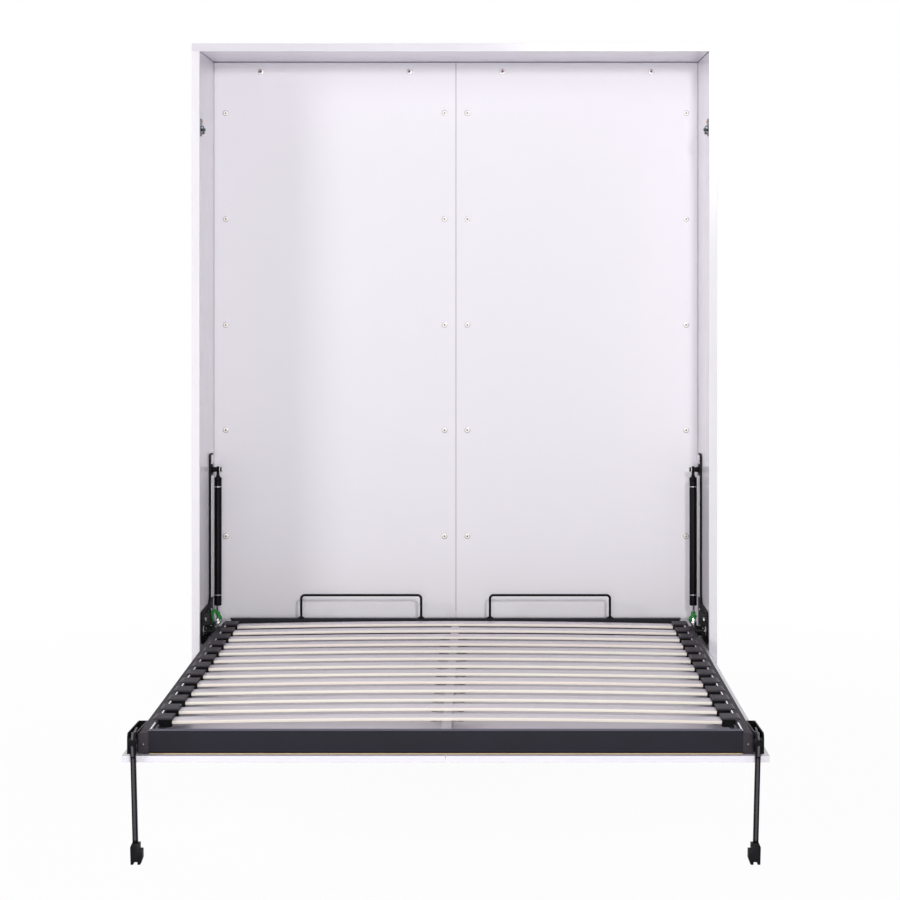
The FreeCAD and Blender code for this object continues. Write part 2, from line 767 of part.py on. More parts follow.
hoop_y = "(head_y - cross_wide / 2)"
hoop_outline = [
    ("hoop_inner", "cross_top"), ("hoop_inner", "cross_top + hoop_high"), ("hoop_outer", "cross_top + hoop_high"),
    ("hoop_outer", "cross_top"), ("hoop_outer - 2 * hoop_wire", "cross_top"),
    ("hoop_outer - 2 * hoop_wire", "cross_top + hoop_high - 2 * hoop_wire"),
    ("hoop_inner + 2 * hoop_wire", "cross_top + hoop_high - 2 * hoop_wire"), ("hoop_inner + 2 * hoop_wire", "cross_top"),
]
hoop_bar = padded(
    "hoop_bar", "XZ_Plane", [hoop_outline], "2 * hoop_wire", ("0", hoop_y + " - hoop_wire", "0"),
    rounds=[("hoop_bend", [1, 2]), ("hoop_bend - 2 * hoop_wire", [5, 6])],
)
hoop_bases = []
for number, middle in enumerate(("hoop_inner + hoop_wire", "hoop_outer - hoop_wire")):
    corner = (f"{middle} - hoop_base / 2", hoop_y + " - hoop_base / 2", "cross_top")
    hoop_bases.append(box(f"hoop_base{number}", corner, ("hoop_base", "hoop_base", "hoop_base_thick")))
both_sides(fused("mattress_hoop_right", hoop_bar, *hoop_bases))

# --- hub plate bolted along each side rail: turns on the cabinet's pin ---

hub_low = "(rail_low + hub_plate_inset)"
hub_plate_long = "(head_y - pivot_y + hub_plate_ahead - hub_plate_inset)"
hub_plate_box = box(
    "hub_plate_flat", ("half_frame", "pivot_y - hub_plate_ahead", hub_low),
    ("hub_plate_thick", hub_plate_long, "rail_high - 2 * hub_plate_inset"),
)
pivot_spot = ("half_frame", "pivot_y", "pivot_z")
ear = round_bar("hub_ear", "x", pivot_spot, "hub_ear_radius", "hub_plate_thick")
boss = round_bar("hub_boss", "x", pivot_spot, "hub_radius", "hub_length - pin_clear")
bore_spot = ("half_frame - overrun", "pivot_y", "pivot_z")
hub_bore = round_bar("hub_bore", "x", bore_spot, "pin_radius + running_fit", "hub_length + 2 * overrun")
both_sides(cut("hub_plate_right", fused("hub_solid", hub_plate_box, ear, boss), hub_bore))

# --- leg bracket: one bent sheet beside the rail's foot end, with the leg's bolt across its front ---

bracket_back = "(striker_y + striker_margin)"
bracket_outline = [
    ("half_frame", "foot_y"), ("half_frame + bracket_thick", "foot_y"),
    ("half_frame + bracket_thick", bracket_back + " - bracket_thick"),
    ("bracket_x - bracket_thick", bracket_back + " - bracket_thick"),
    ("bracket_x - bracket_thick", "bracket_y + bracket_thick"), ("half_frame", "bracket_y + bracket_thick"),
    ("half_frame", "bracket_y"), ("bracket_x", "bracket_y"), ("bracket_x", bracket_back),
    ("half_frame", bracket_back),
]
bracket_sheet = padded(
    "bracket_sheet", "XY_Plane", [bracket_outline], "bracket_high", ("0", "0", "bracket_low"),
    rounds=[("bracket_bend", [7, 8]), ("bracket_bend - bracket_thick", [3, 4])],
)
bracket_top = "(bracket_low + bracket_high)"
bracket_corner = padded(
    "bracket_corner", "YZ_Plane",
    [[
        ("bracket_y - overrun", bracket_top + " - bracket_slope - overrun"),
        ("bracket_y + bracket_slope + overrun", bracket_top + " + overrun"), ("bracket_y - overrun", bracket_top + " + overrun"),
    ]],
    "bracket_out + 2 * overrun", ("half_frame - overrun", "0", "0"),
)
bracket_body = cut("bracket_body", bracket_sheet, bracket_corner)
leg_bolt = round_bar(
    "leg_bolt", "y", ("leg_x", "leg_y - leg_thick / 2 - pin_clear", "leg_pivot_z"), "leg_bolt_radius",
    "leg_thick + pin_clear + leg_washer",
)
leg_washer_nut = hexagon(
    "leg_washer_nut", "XZ_Plane", "leg_x", "leg_pivot_z", "leg_bolt_head_radius", "leg_washer - pin_clear",
    ("0", "bracket_y - leg_washer + pin_clear", "0"),
)
leg_bolt_cap = hexagon(
    "leg_bolt_cap", "XZ_Plane", "leg_x", "leg_pivot_z", "leg_bolt_head_radius", "leg_bolt_head",
    ("0", "leg_y - leg_thick / 2 - pin_clear - leg_bolt_head", "0"),
)
both_sides(fused("leg_bracket_right", bracket_body, leg_bolt, leg_washer_nut, leg_bolt_cap))

striker = round_bar(
    "striker_right", "x", ("bracket_x", "striker_y", "striker_z"), "striker_radius", "striker_length",
)
both_sides(striker)

# --- folding legs: square bar with an eye for the bolt, and a plastic foot on its end ---

leg_bar = box(
    "leg_bar", ("leg_x - leg_thick / 2", "leg_y - leg_thick / 2", "foot_high - foot_socket"),
    ("leg_thick", "leg_thick", "leg_pivot_z - foot_high + foot_socket"),
)
leg_ring = round_bar("leg_ring", "y", ("leg_x", "leg_y - leg_thick / 2", "leg_pivot_z"), "leg_eye_radius",
                     "leg_thick")
leg_hole = round_bar(
    "leg_hole", "y", ("leg_x", "leg_y - leg_thick / 2 - overrun", "leg_pivot_z"),
    "leg_bolt_radius + running_fit", "leg_thick + 2 * overrun",
)
leg_tongue = padded(
    "leg_tongue", "XZ_Plane",
    [[
        ("leg_x - tongue_wide / 2", "leg_pivot_z + leg_bolt_radius"), ("leg_x + tongue_wide / 2", "leg_pivot_z + leg_bolt_radius"),
        ("leg_x - tongue_lean + tongue_wide / 2", "leg_pivot_z + tongue_high"),
        ("leg_x - tongue_lean - tongue_wide / 2", "leg_pivot_z + tongue_high"),
    ]],
    "leg_thick", ("0", "leg_y - leg_thick / 2", "0"),
)
both_sides(cut("leg_right", fused("leg_solid", leg_bar, leg_ring, leg_tongue), leg_hole))

foot_out = "leg_x + foot_wide / 2"
foot_in = "leg_x - foot_wide / 2"
foot_outline = [
    (foot_out, "0"), (foot_out, "foot_high - foot_slope"), ("leg_x + leg_thick / 2 + overrun", "foot_high"),
    (foot_in, "foot_high"), (foot_in, "foot_tab_rise"), (foot_in + " - foot_tab_out", "foot_tab_rise"),
    (foot_in + " - foot_tab_out", "foot_tab_low"), (foot_in, "0"), ("leg_x - foot_groove / 2", "0"),
    ("leg_x - foot_groove / 2", "foot_groove_high"), ("leg_x + foot_groove / 2", "foot_groove_high"),
    ("leg_x + foot_groove / 2", "0"),
]
foot_block = padded("foot_block", "XZ_Plane", [foot_outline], "foot_wide", ("0", "leg_y - foot_wide / 2", "0"))
socket = box(
    "foot_socket_hole", ("leg_x - leg_thick / 2", "leg_y - leg_thick / 2", "foot_high - foot_socket"),
    ("leg_thick", "leg_thick", "foot_socket + overrun"),
)
both_sides(cut("foot_right", foot_block, socket))

# --- check every object, then write one file for each piece ---

doc.recompute()
for item in doc.Objects:
    if "Invalid" in item.State or "Error" in item.State:
        raise ValueError(f"{item.Label} failed: {item.State}")
for node in nodes:
    shape = node.Shape
    if shape.isNull() or not shape.isValid() or shape.Volume <= 0:
        raise ValueError(f"{node.Label} has no valid solid")

os.makedirs("parts", exist_ok=True)
for node in nodes:
    node.Shape.exportStep(f"parts/{node.Label}.step")
    extent = node.Shape.BoundBox
    print(f"{node.Label}: {len(node.Shape.Solids)} solid, {node.Shape.Volume / 1000:.1f} cm3,",
          f"x {extent.XMin:.1f} {extent.XMax:.1f} y {extent.YMin:.1f} {extent.YMax:.1f}",
          f"z {extent.ZMin:.1f} {extent.ZMax:.1f}")
print(len(nodes), "pieces")
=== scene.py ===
import math

import bmesh
import bpy
from mathutils import Matrix, Vector


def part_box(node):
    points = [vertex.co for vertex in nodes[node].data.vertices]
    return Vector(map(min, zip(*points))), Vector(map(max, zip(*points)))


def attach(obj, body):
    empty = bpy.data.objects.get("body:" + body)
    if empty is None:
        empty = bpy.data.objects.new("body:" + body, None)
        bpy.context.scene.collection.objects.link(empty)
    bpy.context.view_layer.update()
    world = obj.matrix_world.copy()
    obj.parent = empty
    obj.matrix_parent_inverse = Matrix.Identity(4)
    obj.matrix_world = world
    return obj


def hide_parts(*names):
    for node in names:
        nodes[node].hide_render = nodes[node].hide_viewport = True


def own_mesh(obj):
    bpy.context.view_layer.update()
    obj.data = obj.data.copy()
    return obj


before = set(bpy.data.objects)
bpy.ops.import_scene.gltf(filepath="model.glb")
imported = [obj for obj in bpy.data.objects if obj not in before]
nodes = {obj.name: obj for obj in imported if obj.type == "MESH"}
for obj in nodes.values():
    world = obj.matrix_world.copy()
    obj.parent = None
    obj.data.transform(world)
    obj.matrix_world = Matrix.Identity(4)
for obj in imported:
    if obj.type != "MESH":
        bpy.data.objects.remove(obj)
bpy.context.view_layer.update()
print("loaded", len(nodes), "cad nodes")


# small helpers

def paint(red, green, blue):  # a colour as a colour picker shows it, 0 to 255
    def linear(v):
        v /= 255
        return v / 12.92 if v <= 0.04045 else ((v + 0.055) / 1.055) ** 2.4
    return (linear(red), linear(green), linear(blue), 1.0)


def addNode(tree, kind, inputs=None, **settings):
    node = tree.nodes.new(kind)
    for key, value in settings.items():
        setattr(node, key, value)
    for key, value in (inputs or {}).items():
        socket = node.inputs[key]
        if isinstance(value, bpy.types.NodeSocket):
            tree.links.new(value, socket)
        else:
            socket.default_value = value
    return node


def newGroup(name, kind, inputs, outputs):  # each kind of socket with its labels, parted by spaces
    group = bpy.data.node_groups.new(name, kind)
    for way, sockets in (("INPUT", inputs), ("OUTPUT", outputs)):
        for socketKind, labels in sockets.items():
            for label in labels.split():
                group.interface.new_socket(name=label, in_out=way, socket_type="NodeSocket" + socketKind)
    return group, group.nodes.new("NodeGroupInput").outputs, group.nodes.new("NodeGroupOutput").inputs


def groupNode(tree, group, **values):
    node = tree.nodes.new("ShaderNodeGroup")
    node.node_tree = group
    for label, value in values.items():
        if isinstance(value, bpy.types.NodeSocket):
            tree.links.new(value, node.inputs[label])
        else:
            node.inputs[label].default_value = value
    return node.outputs


def objectPlace(tree):
    return addNode(tree, "ShaderNodeTexCoord").outputs["Object"]


def ranged(tree, value, fromLow, fromHigh, low, high):
    spans = {"From Min": fromLow, "From Max": fromHigh, "To Min": low, "To Max": high}
    return addNode(tree, "ShaderNodeMapRange", {"Value": value, **spans}).outputs[0]


def worked(tree, operation, first, second, **settings):  # one step of arithmetic
    return addNode(tree, "ShaderNodeMath", {0: first, 1: second}, operation=operation, **settings).outputs[0]


def vectorOf(tree, **axes):
    return addNode(tree, "ShaderNodeCombineXYZ", axes).outputs[0]


def mixedColor(tree, share, first, second):
    return addNode(tree, "ShaderNodeMix", {0: share, 6: first, 7: second}, data_type="RGBA").outputs[2]


def lightened(tree, level, color):
    return addNode(tree, "ShaderNodeHueSaturation", {"Value": level, "Color": color}).outputs[0]


def noiseAt(tree, place, scale, detail, **more):
    values = {"Vector": place, "Scale": scale, "Detail": detail, **more}
    return addNode(tree, "ShaderNodeTexNoise", values).outputs["Fac"]


# effects that several finishes share

def makeGrainGroup():  # fine height pattern: orange peel, moulding texture, pressed paper
    group, given, out = newGroup(
        "surfaceGrain", "ShaderNodeTree", {"Float": "Scale Detail", "Vector": "Stretch"}, {"Float": "Height"})
    spread = addNode(group, "ShaderNodeMapping", {
        "Vector": objectPlace(group), "Scale": given["Stretch"]}).outputs[0]
    noise = noiseAt(group, spread, given["Scale"], given["Detail"], Roughness=0.55)
    group.links.new(noise, out["Height"])
    return group


def makeDriftGroup():  # slow change of a colour's lightness over the surface
    group, given, out = newGroup(
        "toneDrift", "ShaderNodeTree", {"Color": "Color", "Float": "Drift Scale"},
        {"Color": "Color", "Float": "Patch"})
    noise = noiseAt(group, objectPlace(group), given["Scale"], 4.0, Roughness=0.6)
    low, high = worked(group, "SUBTRACT", 1.0, given["Drift"]), worked(group, "ADD", 1.0, given["Drift"])
    level = ranged(group, noise, 0.3, 0.7, low, high)
    group.links.new(lightened(group, level, given["Color"]), out["Color"])
    group.links.new(noise, out["Patch"])
    return group


def makeWearGroup():  # mask along the arrises, broken up by a noise
    group, given, out = newGroup(
        "edgeWear", "ShaderNodeTree", {"Float": "Width Amount Scale"}, {"Float": "Mask", "Vector": "Normal"})
    rounded = addNode(group, "ShaderNodeBevel", {"Radius": given["Width"]}, samples=4).outputs[0]
    flat = addNode(group, "ShaderNodeNewGeometry").outputs["Normal"]
    along = addNode(group, "ShaderNodeVectorMath", {0: rounded, 1: flat}, operation="DOT_PRODUCT")
    edge = ranged(group, along.outputs["Value"], 0.995, 0.86, 0.0, 1.0)
    noise = noiseAt(group, objectPlace(group), given["Scale"], 3.0)
    patch = ranged(group, noise, 0.42, 0.62, 0.15, 1.0)
    both = worked(group, "MULTIPLY", edge, patch)
    group.links.new(worked(group, "MULTIPLY", both, given["Amount"], use_clamp=True), out["Mask"])
    group.links.new(rounded, out["Normal"])
    return group


def makeWoodGroup():  # veneer: long fibres, slow bands and a few dark pores
    group, given, out = newGroup(
        "woodGrain", "ShaderNodeTree", {"Color": "Light Dark", "Vector": "Stretch", "Float": "Shift Fibres"},
        {"Color": "Color", "Float": "Height"})
    shift = vectorOf(group, X=given["Shift"], Y=given["Shift"])
    spread = addNode(group, "ShaderNodeMapping", {
        "Vector": objectPlace(group), "Location": shift, "Scale": given["Stretch"]}).outputs[0]
    bands = noiseAt(group, spread, 1.2, 3.0, Distortion=0.6)
    fibres = noiseAt(group, spread, given["Fibres"], 5.0, Roughness=0.7)
    pores = ranged(group, fibres, 0.56, 0.70, 0.0, 0.8)
    slow = ranged(group, bands, 0.35, 0.65, 0.0, 0.7)
    most = worked(group, "MAXIMUM", pores, slow)
    group.links.new(mixedColor(group, most, given["Light"], given["Dark"]), out["Color"])
    group.links.new(fibres, out["Height"])
    return group


surfaceGrain = makeGrainGroup()
toneDrift = makeDriftGroup()
edgeWear = makeWearGroup()
woodGrain = makeWoodGroup()


# finishes: a look is a dictionary of values, and each kind of surface has one maker

def newMaterial(name, **values):  # constant numbers go on the shader's own sockets
    material = bpy.data.materials.new(name)
    material.use_nodes = True
    shader = material.node_tree.nodes["Principled BSDF"]
    for label, value in values.items():
        shader.inputs[label.replace("_", " ")].default_value = value
    return material, material.node_tree, shader


def joinBump(tree, shader, height, strength, distance, normal=None):  # fine relief on the surface
    bump = addNode(tree, "ShaderNodeBump", {"Height": height, "Strength": strength, "Distance": distance})
    if normal is not None:
        tree.links.new(normal, bump.inputs["Normal"])
    tree.links.new(bump.outputs[0], shader.inputs["Normal"])


def varied(tree, shader, value, low, high):  # roughness that changes with a mask
    tree.links.new(ranged(tree, value, 0.3, 0.7, low, high), shader.inputs["Roughness"])


def coatFinish(name, look):  # foil, powder coat or moulded plastic, a little worn along its arrises
    material, tree, shader = newMaterial(name, IOR=1.5, Specular_IOR_Level=look["specular"])
    drift = groupNode(tree, toneDrift, Color=look["color"], Drift=look["drift"], Scale=look["driftScale"])
    wear = groupNode(tree, edgeWear, Width=look["arris"], Amount=look["wear"], Scale=look["wearScale"])
    grain = groupNode(
        tree, surfaceGrain, Scale=look["grainScale"], Stretch=(1, 1, 1), Detail=look["grainDetail"])
    color = mixedColor(tree, wear["Mask"], drift["Color"], look["edgeColor"])
    tree.links.new(color, shader.inputs["Base Color"])
    glossier, duller = look["glossSpan"]
    varied(tree, shader, drift["Patch"], look["gloss"] - glossier, look["gloss"] + duller)
    joinBump(tree, shader, grain["Height"], look["bump"], look["grainDepth"], wear["Normal"])
    return material


def metalFinish(name, look):  # bare, plated or brushed metal
    material, tree, shader = newMaterial(name, Metallic=1.0)
    drift = groupNode(tree, toneDrift, Color=look["color"], Drift=look["drift"], Scale=look["driftScale"])
    brushed = groupNode(tree, surfaceGrain, Scale=look["brushScale"], Stretch=look["brush"], Detail=3.0)
    tree.links.new(drift["Color"], shader.inputs["Base Color"])
    glossier, duller = look["glossSpan"]
    varied(tree, shader, brushed["Height"], look["gloss"] - glossier, look["gloss"] + duller)
    joinBump(tree, shader, brushed["Height"], look["bump"], look["brushDepth"])
    return material


def woodFinish(name, look):
    material, tree, shader = newMaterial(name, IOR=1.45)
    grain = groupNode(tree, woodGrain, Light=look["light"], Dark=look["dark"], Stretch=look["stretch"],
                      Fibres=look["fibres"])
    drift = groupNode(tree, toneDrift, Color=grain["Color"], Drift=look["drift"], Scale=look["driftScale"])
    tree.links.new(drift["Color"], shader.inputs["Base Color"])
    varied(tree, shader, grain["Height"], *look["glossSpan"])
    joinBump(tree, shader, grain["Height"], look["bump"], look["grainDepth"])
    return material


boardLook = {
    "color": paint(243, 240, 245), "edgeColor": paint(249, 247, 251), "drift": 0.012, "driftScale": 1.6,
    "arris": 0.0008, "wear": 0.5, "wearScale": 18.0, "grainScale": 1400.0, "grainDetail": 3.0,
    "grainDepth": 0.00003, "bump": 0.25, "gloss": 0.2, "glossSpan": (0.04, 0.06), "specular": 0.5,
}
backLook = dict(boardLook, color=paint(242, 239, 244), gloss=0.5, driftScale=0.9, drift=0.014)
# painted shade: the door panels have the boards' white made darker
doorLookShaded = dict(boardLook, color=paint(231, 227, 235))
battenLook = {
    "light": paint(206, 178, 136), "dark": paint(158, 122, 82), "stretch": (30.0, 30.0, 1.2), "fibres": 6.0,
    "drift": 0.06, "driftScale": 1.7, "glossSpan": (0.5, 0.7), "bump": 0.3, "grainDepth": 0.0003,
}
railLook = {
    "color": paint(58, 54, 60), "edgeColor": paint(100, 96, 104), "drift": 0.10, "driftScale": 9.0,
    "arris": 0.0012, "wear": 0.3, "wearScale": 70.0, "grainScale": 1100.0, "grainDetail": 2.0,
    "grainDepth": 0.00012, "bump": 0.4, "gloss": 0.62, "glossSpan": (0.05, 0.07), "specular": 0.09,
}
# painted shade: the foot and head rails have the side rails' coat made darker
footRailShadedLook = dict(railLook, gloss=0.45, color=paint(36, 35, 43), edgeColor=paint(70, 70, 80))
blackLook = dict(railLook, color=paint(13, 13, 15), edgeColor=paint(48, 47, 50), gloss=0.36, specular=0.08)
plateLook = dict(railLook, color=paint(22, 21, 23), edgeColor=paint(70, 66, 70), wear=0.35, specular=0.1)
beamLook = dict(railLook, color=paint(196, 192, 196), edgeColor=paint(236, 234, 236), gloss=0.4)
holderLook = dict(
    railLook, color=paint(56, 51, 57), edgeColor=paint(86, 82, 88), drift=0.08, driftScale=14.0, wear=0.35,
    grainScale=1600.0, grainDepth=0.0001, gloss=0.46, specular=0.1)
plasticLook = dict(holderLook, color=paint(15, 15, 18), edgeColor=paint(48, 48, 53), gloss=0.42)
brightLook = {
    "color": paint(214, 214, 216), "drift": 0.06, "driftScale": 120.0, "gloss": 0.24,
    "glossSpan": (0.05, 0.08), "brush": (1.0, 1.0, 1.0), "brushScale": 900.0, "brushDepth": 0.00003,
    "bump": 0.2,
}
chromeLook = dict(
    brightLook, color=paint(228, 228, 232), gloss=0.1, brush=(14.0, 14.0, 1.0), brushScale=260.0)
copperLook = dict(brightLook, color=paint(206, 128, 84), gloss=0.3)
catchLook = dict(brightLook, color=paint(92, 102, 108), gloss=0.4)

boardWhite = coatFinish("boardWhite", boardLook)
# painted shade: the top board has the other boards' white made darker
topWhite = coatFinish("topWhite", dict(
    boardLook, color=paint(229, 225, 233), edgeColor=paint(240, 237, 243)))
backWhite = coatFinish("backWhite", backLook)
doorWhite = coatFinish("doorWhite", doorLookShaded)
battenWood = woodFinish("battenWood", battenLook)
railGrey = coatFinish("railGrey", railLook)
footRailGrey = coatFinish("footRailGrey", footRailShadedLook)
blackCoat = coatFinish("blackCoat", blackLook)
plateGrey = coatFinish("plateGrey", plateLook)
beamGrey = coatFinish("beamGrey", beamLook)
holderGrey = coatFinish("holderGrey", holderLook)
blackPlastic = coatFinish("blackPlastic", plasticLook)
brightSteel = metalFinish("brightSteel", brightLook)
rodChrome = metalFinish("rodChrome", chromeLook)
copperScrew = metalFinish("copperScrew", copperLook)
catchSteel = metalFinish("catchSteel", catchLook)
hookSteel = coatFinish("hookSteel", dict(
    plateLook, color=paint(104, 104, 110), edgeColor=paint(160, 160, 166)))
# painted highlight: a near-white strip for the light on the rails' rounded inner arrises
bareArris = metalFinish("bareArris", dict(brightLook, color=paint(252, 252, 254), gloss=0.12))

# the start of a node's name gives its finish, and the longest start that fits holds
finishOf = {
    "side_panel_": boardWhite, "top_board": topWhite, "back_panel_": backWhite, "door_panel_": doorWhite,
    "side_batten_": battenWood, "middle_batten": battenWood, "bottom_batten": battenWood,
    "top_batten": battenWood, "side_rail_": railGrey, "foot_rail": footRailGrey, "head_rail": footRailGrey,
    "middle_beam": beamGrey, "mechanism_plate_": plateGrey, "hub_plate_": blackCoat, "leg_": blackCoat,
    "foot_": blackPlastic, "striker_": brightSteel, "pivot_pin_": brightSteel, "spring_stud_": blackCoat,
    "gas_cylinder_": blackCoat, "gas_rod_": rodChrome, "catch_plate_": catchSteel, "catch_hook_": hookSteel,
    "mattress_hoop_": blackCoat, "slat_holders_": holderGrey, "slat_": battenWood, "spring_strap_": blackCoat,
}
for name, node in nodes.items():
    starts = sorted(filter(name.startswith, finishOf), key=len)
    finish = finishOf[starts[-1]] if starts else None
    if finish is None:
        print("no finish for", name)
        continue
    if not node.material_slots:
        node.data.materials.append(finish)
    for place in node.material_slots:
        place.material = finish
print("finishes are on the cad nodes")


def joinScene(name, data):  # a mesh, a curve, a light or a camera gets its object
    piece = bpy.data.objects.new(name, data)
    bpy.context.scene.collection.objects.link(piece)
    return piece


def settled(piece):  # works the piece's modifiers, or a curve's thickness, into a plain mesh
    depsgraph = bpy.context.evaluated_depsgraph_get()
    mesh = bpy.data.meshes.new_from_object(
        piece.evaluated_get(depsgraph), preserve_all_data_layers=True, depsgraph=depsgraph)
    label = piece.name
    bpy.data.objects.remove(piece)
    mesh.name = label
    return joinScene(label, mesh)


def grown(name, tree, values, base=None):  # runs a geometry tree once and keeps what it makes
    source = joinScene(name, base or bpy.data.meshes.new(name))
    modifier = source.modifiers.new("grown", "NODES")
    modifier.node_group = tree
    sockets = {item.name: item.identifier for item in tree.interface.items_tree
               if item.item_type == "SOCKET" and item.in_out == "INPUT"}
    for label, value in values.items():
        modifier[sockets[label]] = value
    return settled(source)


def seated(piece, body, slot, *replaced):  # joins the piece to its body and hides the cad nodes it stands for
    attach(piece, body)
    if replaced:
        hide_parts(*replaced)
    return piece


# slats: a bowed strip swept from a rounded profile, repeated along the bed
slatSizes = {
    "Count": 13, "Length": 1.46, "Width": 0.063, "Thick": 0.009, "Crown": 0.009, "Pitch": 0.143,
    "Rounding": 0.0028, "Steps": 36, "Wander": 0.0012, "Seed": 7,
}
slatReach = (1, 1, 0.25)  # how much of the wander each axis takes
sideways = 0.6  # faces that look along Y by more than this are the slats' cut edges
slatLook = {
    "light": paint(242, 234, 240), "dark": paint(214, 205, 216), "stretch": (1.1, 70.0, 70.0),
    "edge": paint(255, 251, 238), "ply": paint(250, 240, 222), "pink": paint(255, 244, 234),
    "plyLines": 1150.0, "plyDark": 0.45, "toneSpan": (0.93, 1.04), "toneShift": 5.0, "fibres": 5.0,
    "faceGloss": (0.24, 0.36), "faceBump": 0.2, "edgeGloss": (0.5, 0.66), "edgeBump": 0.3,
    "edgeScale": 40.0, "edgeStretch": (0.6, 8.0, 20.0), "depth": 0.0002,
}
waveTurn = 6.28  # a wave texture's scale is its line value divided by this


def slatFoilFinish(name, look):  # pressed foil with printed fibres, each slat a little different
    material, tree, shader = newMaterial(name, IOR=1.42)
    tone = addNode(tree, "ShaderNodeAttribute", attribute_name="tone").outputs["Fac"]
    shift = worked(tree, "MULTIPLY", tone, look["toneShift"])
    grain = groupNode(tree, woodGrain, Light=look["light"], Dark=look["dark"], Stretch=look["stretch"],
                      Shift=shift, Fibres=look["fibres"])
    level = ranged(tree, tone, 0.0, 1.0, *look["toneSpan"])
    tree.links.new(lightened(tree, level, grain["Color"]), shader.inputs["Base Color"])
    varied(tree, shader, grain["Height"], *look["faceGloss"])
    joinBump(tree, shader, grain["Height"], look["faceBump"], look["depth"])
    return material


def slatEdgeFinish(name, look):  # cut edge of the glued layers, cream with a pink or tan cast
    material, tree, shader = newMaterial(name, IOR=1.45)
    tone = addNode(tree, "ShaderNodeAttribute", attribute_name="tone").outputs["Fac"]
    layers = addNode(tree, "ShaderNodeTexWave", {
        "Vector": objectPlace(tree), "Scale": look["plyLines"] / waveTurn, "Distortion": 0.6,
        "Detail Scale": 8.0}, wave_type="BANDS", bands_direction="Z").outputs["Fac"]
    dark = ranged(tree, layers, 0.0, 0.35, look["plyDark"], 0.0)
    lined = mixedColor(tree, dark, mixedColor(tree, tone, look["edge"], look["pink"]), look["ply"])
    fibres = groupNode(tree, surfaceGrain, Scale=look["edgeScale"], Stretch=look["edgeStretch"], Detail=4.0)
    tree.links.new(lined, shader.inputs["Base Color"])
    varied(tree, shader, fibres["Height"], *look["edgeGloss"])
    joinBump(tree, shader, fibres["Height"], look["edgeBump"], look["depth"])
    return material


def makeSlatTree():
    group, given, out = newGroup("bowedSlats", "GeometryNodeTree", {
        "Int": "Count Steps Seed", "Float": "Length Width Thick Crown Pitch Rounding Wander",
        "Vector": "Start", "Material": "Face Edge"}, {"Geometry": "Geometry"})
    half = worked(group, "MULTIPLY", given["Length"], 0.5)
    left, right = vectorOf(group, X=worked(group, "MULTIPLY", half, -1.0)), vectorOf(group, X=half)
    line = addNode(group, "GeometryNodeCurvePrimitiveLine", {"Start": left, "End": right}).outputs[0]
    fine = addNode(group, "GeometryNodeResampleCurve", {"Curve": line, "Count": given["Steps"]}).outputs[0]
    place = addNode(group, "GeometryNodeInputPosition").outputs[0]
    across = addNode(group, "ShaderNodeSeparateXYZ", {0: place}).outputs["X"]
    share = worked(group, "DIVIDE", across, half)
    fall = worked(group, "SUBTRACT", 1.0, worked(group, "MULTIPLY", share, share))
    rise = vectorOf(group, Z=worked(group, "MULTIPLY", fall, given["Crown"]))
    bowed = addNode(group, "GeometryNodeSetPosition", {"Geometry": fine, "Offset": rise}).outputs[0]
    profile = addNode(group, "GeometryNodeCurvePrimitiveQuadrilateral", {
        "Width": given["Width"], "Height": given["Thick"]}).outputs[0]
    eased = addNode(group, "GeometryNodeFilletCurve", {
        "Curve": profile, "Radius": given["Rounding"], "Count": 3}, mode="POLY").outputs[0]
    strip = addNode(group, "GeometryNodeCurveToMesh", {
        "Curve": bowed, "Profile Curve": eased, "Fill Caps": True}).outputs[0]
    rows = addNode(group, "GeometryNodeMeshLine", {
        "Count": given["Count"], "Start Location": given["Start"],
        "Offset": vectorOf(group, Y=given["Pitch"])}).outputs[0]
    loose = addNode(group, "FunctionNodeRandomValue", {
        0: [-reach for reach in slatReach], 1: slatReach, "Seed": given["Seed"]},
        data_type="FLOAT_VECTOR").outputs[0]
    drift = addNode(group, "ShaderNodeVectorMath", {0: loose, 3: given["Wander"]}, operation="SCALE")
    spots = addNode(group, "GeometryNodeSetPosition", {
        "Geometry": rows, "Offset": drift.outputs[0]}).outputs[0]
    slats = addNode(group, "GeometryNodeInstanceOnPoints", {"Points": spots, "Instance": strip}).outputs[0]
    tone = addNode(group, "FunctionNodeRandomValue", {"Seed": given["Seed"]}, data_type="FLOAT").outputs[1]
    toned = addNode(group, "GeometryNodeStoreNamedAttribute", {
        "Geometry": slats, "Name": "tone", "Value": tone}, data_type="FLOAT", domain="INSTANCE").outputs[0]
    solid = addNode(group, "GeometryNodeRealizeInstances", {"Geometry": toned}).outputs[0]
    normal = addNode(group, "GeometryNodeInputNormal").outputs[0]
    facing = addNode(group, "ShaderNodeSeparateXYZ", {0: normal}).outputs["Y"]
    cut = worked(group, "GREATER_THAN", worked(group, "ABSOLUTE", facing, 0.0), sideways)
    faced = addNode(group, "GeometryNodeSetMaterial", {
        "Geometry": solid, "Material": given["Face"]}).outputs[0]
    edged = addNode(group, "GeometryNodeSetMaterial", {
        "Geometry": faced, "Selection": cut, "Material": given["Edge"]}).outputs[0]
    group.links.new(edged, out["Geometry"])
    return group


slatFoil = slatFoilFinish("slatFoil", slatLook)
slatEdge = slatEdgeFinish("slatEdge", slatLook)
firstLow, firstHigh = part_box("slat_01")
slatStart = (0.0, (firstLow.y + firstHigh.y) / 2, firstLow.z + slatSizes["Thick"] / 2)
slats = grown("bowed_slats", makeSlatTree(), dict(slatSizes, Start=slatStart, Face=slatFoil, Edge=slatEdge))
seated(slats, "bed", "slat_wood", *[f"slat_{row:02d}" for row in range(1, slatSizes["Count"] + 1)])
print("slats are bowed,", len(slats.data.polygons), "faces")


def finishTree(group, copies, finish, out):  # makes the copies real, in one material
    solid = addNode(group, "GeometryNodeRealizeInstances", {"Geometry": copies}).outputs[0]
    finished = addNode(group, "GeometryNodeSetMaterial", {"Geometry": solid, "Material": finish}).outputs[0]
    group.links.new(finished, out["Geometry"])


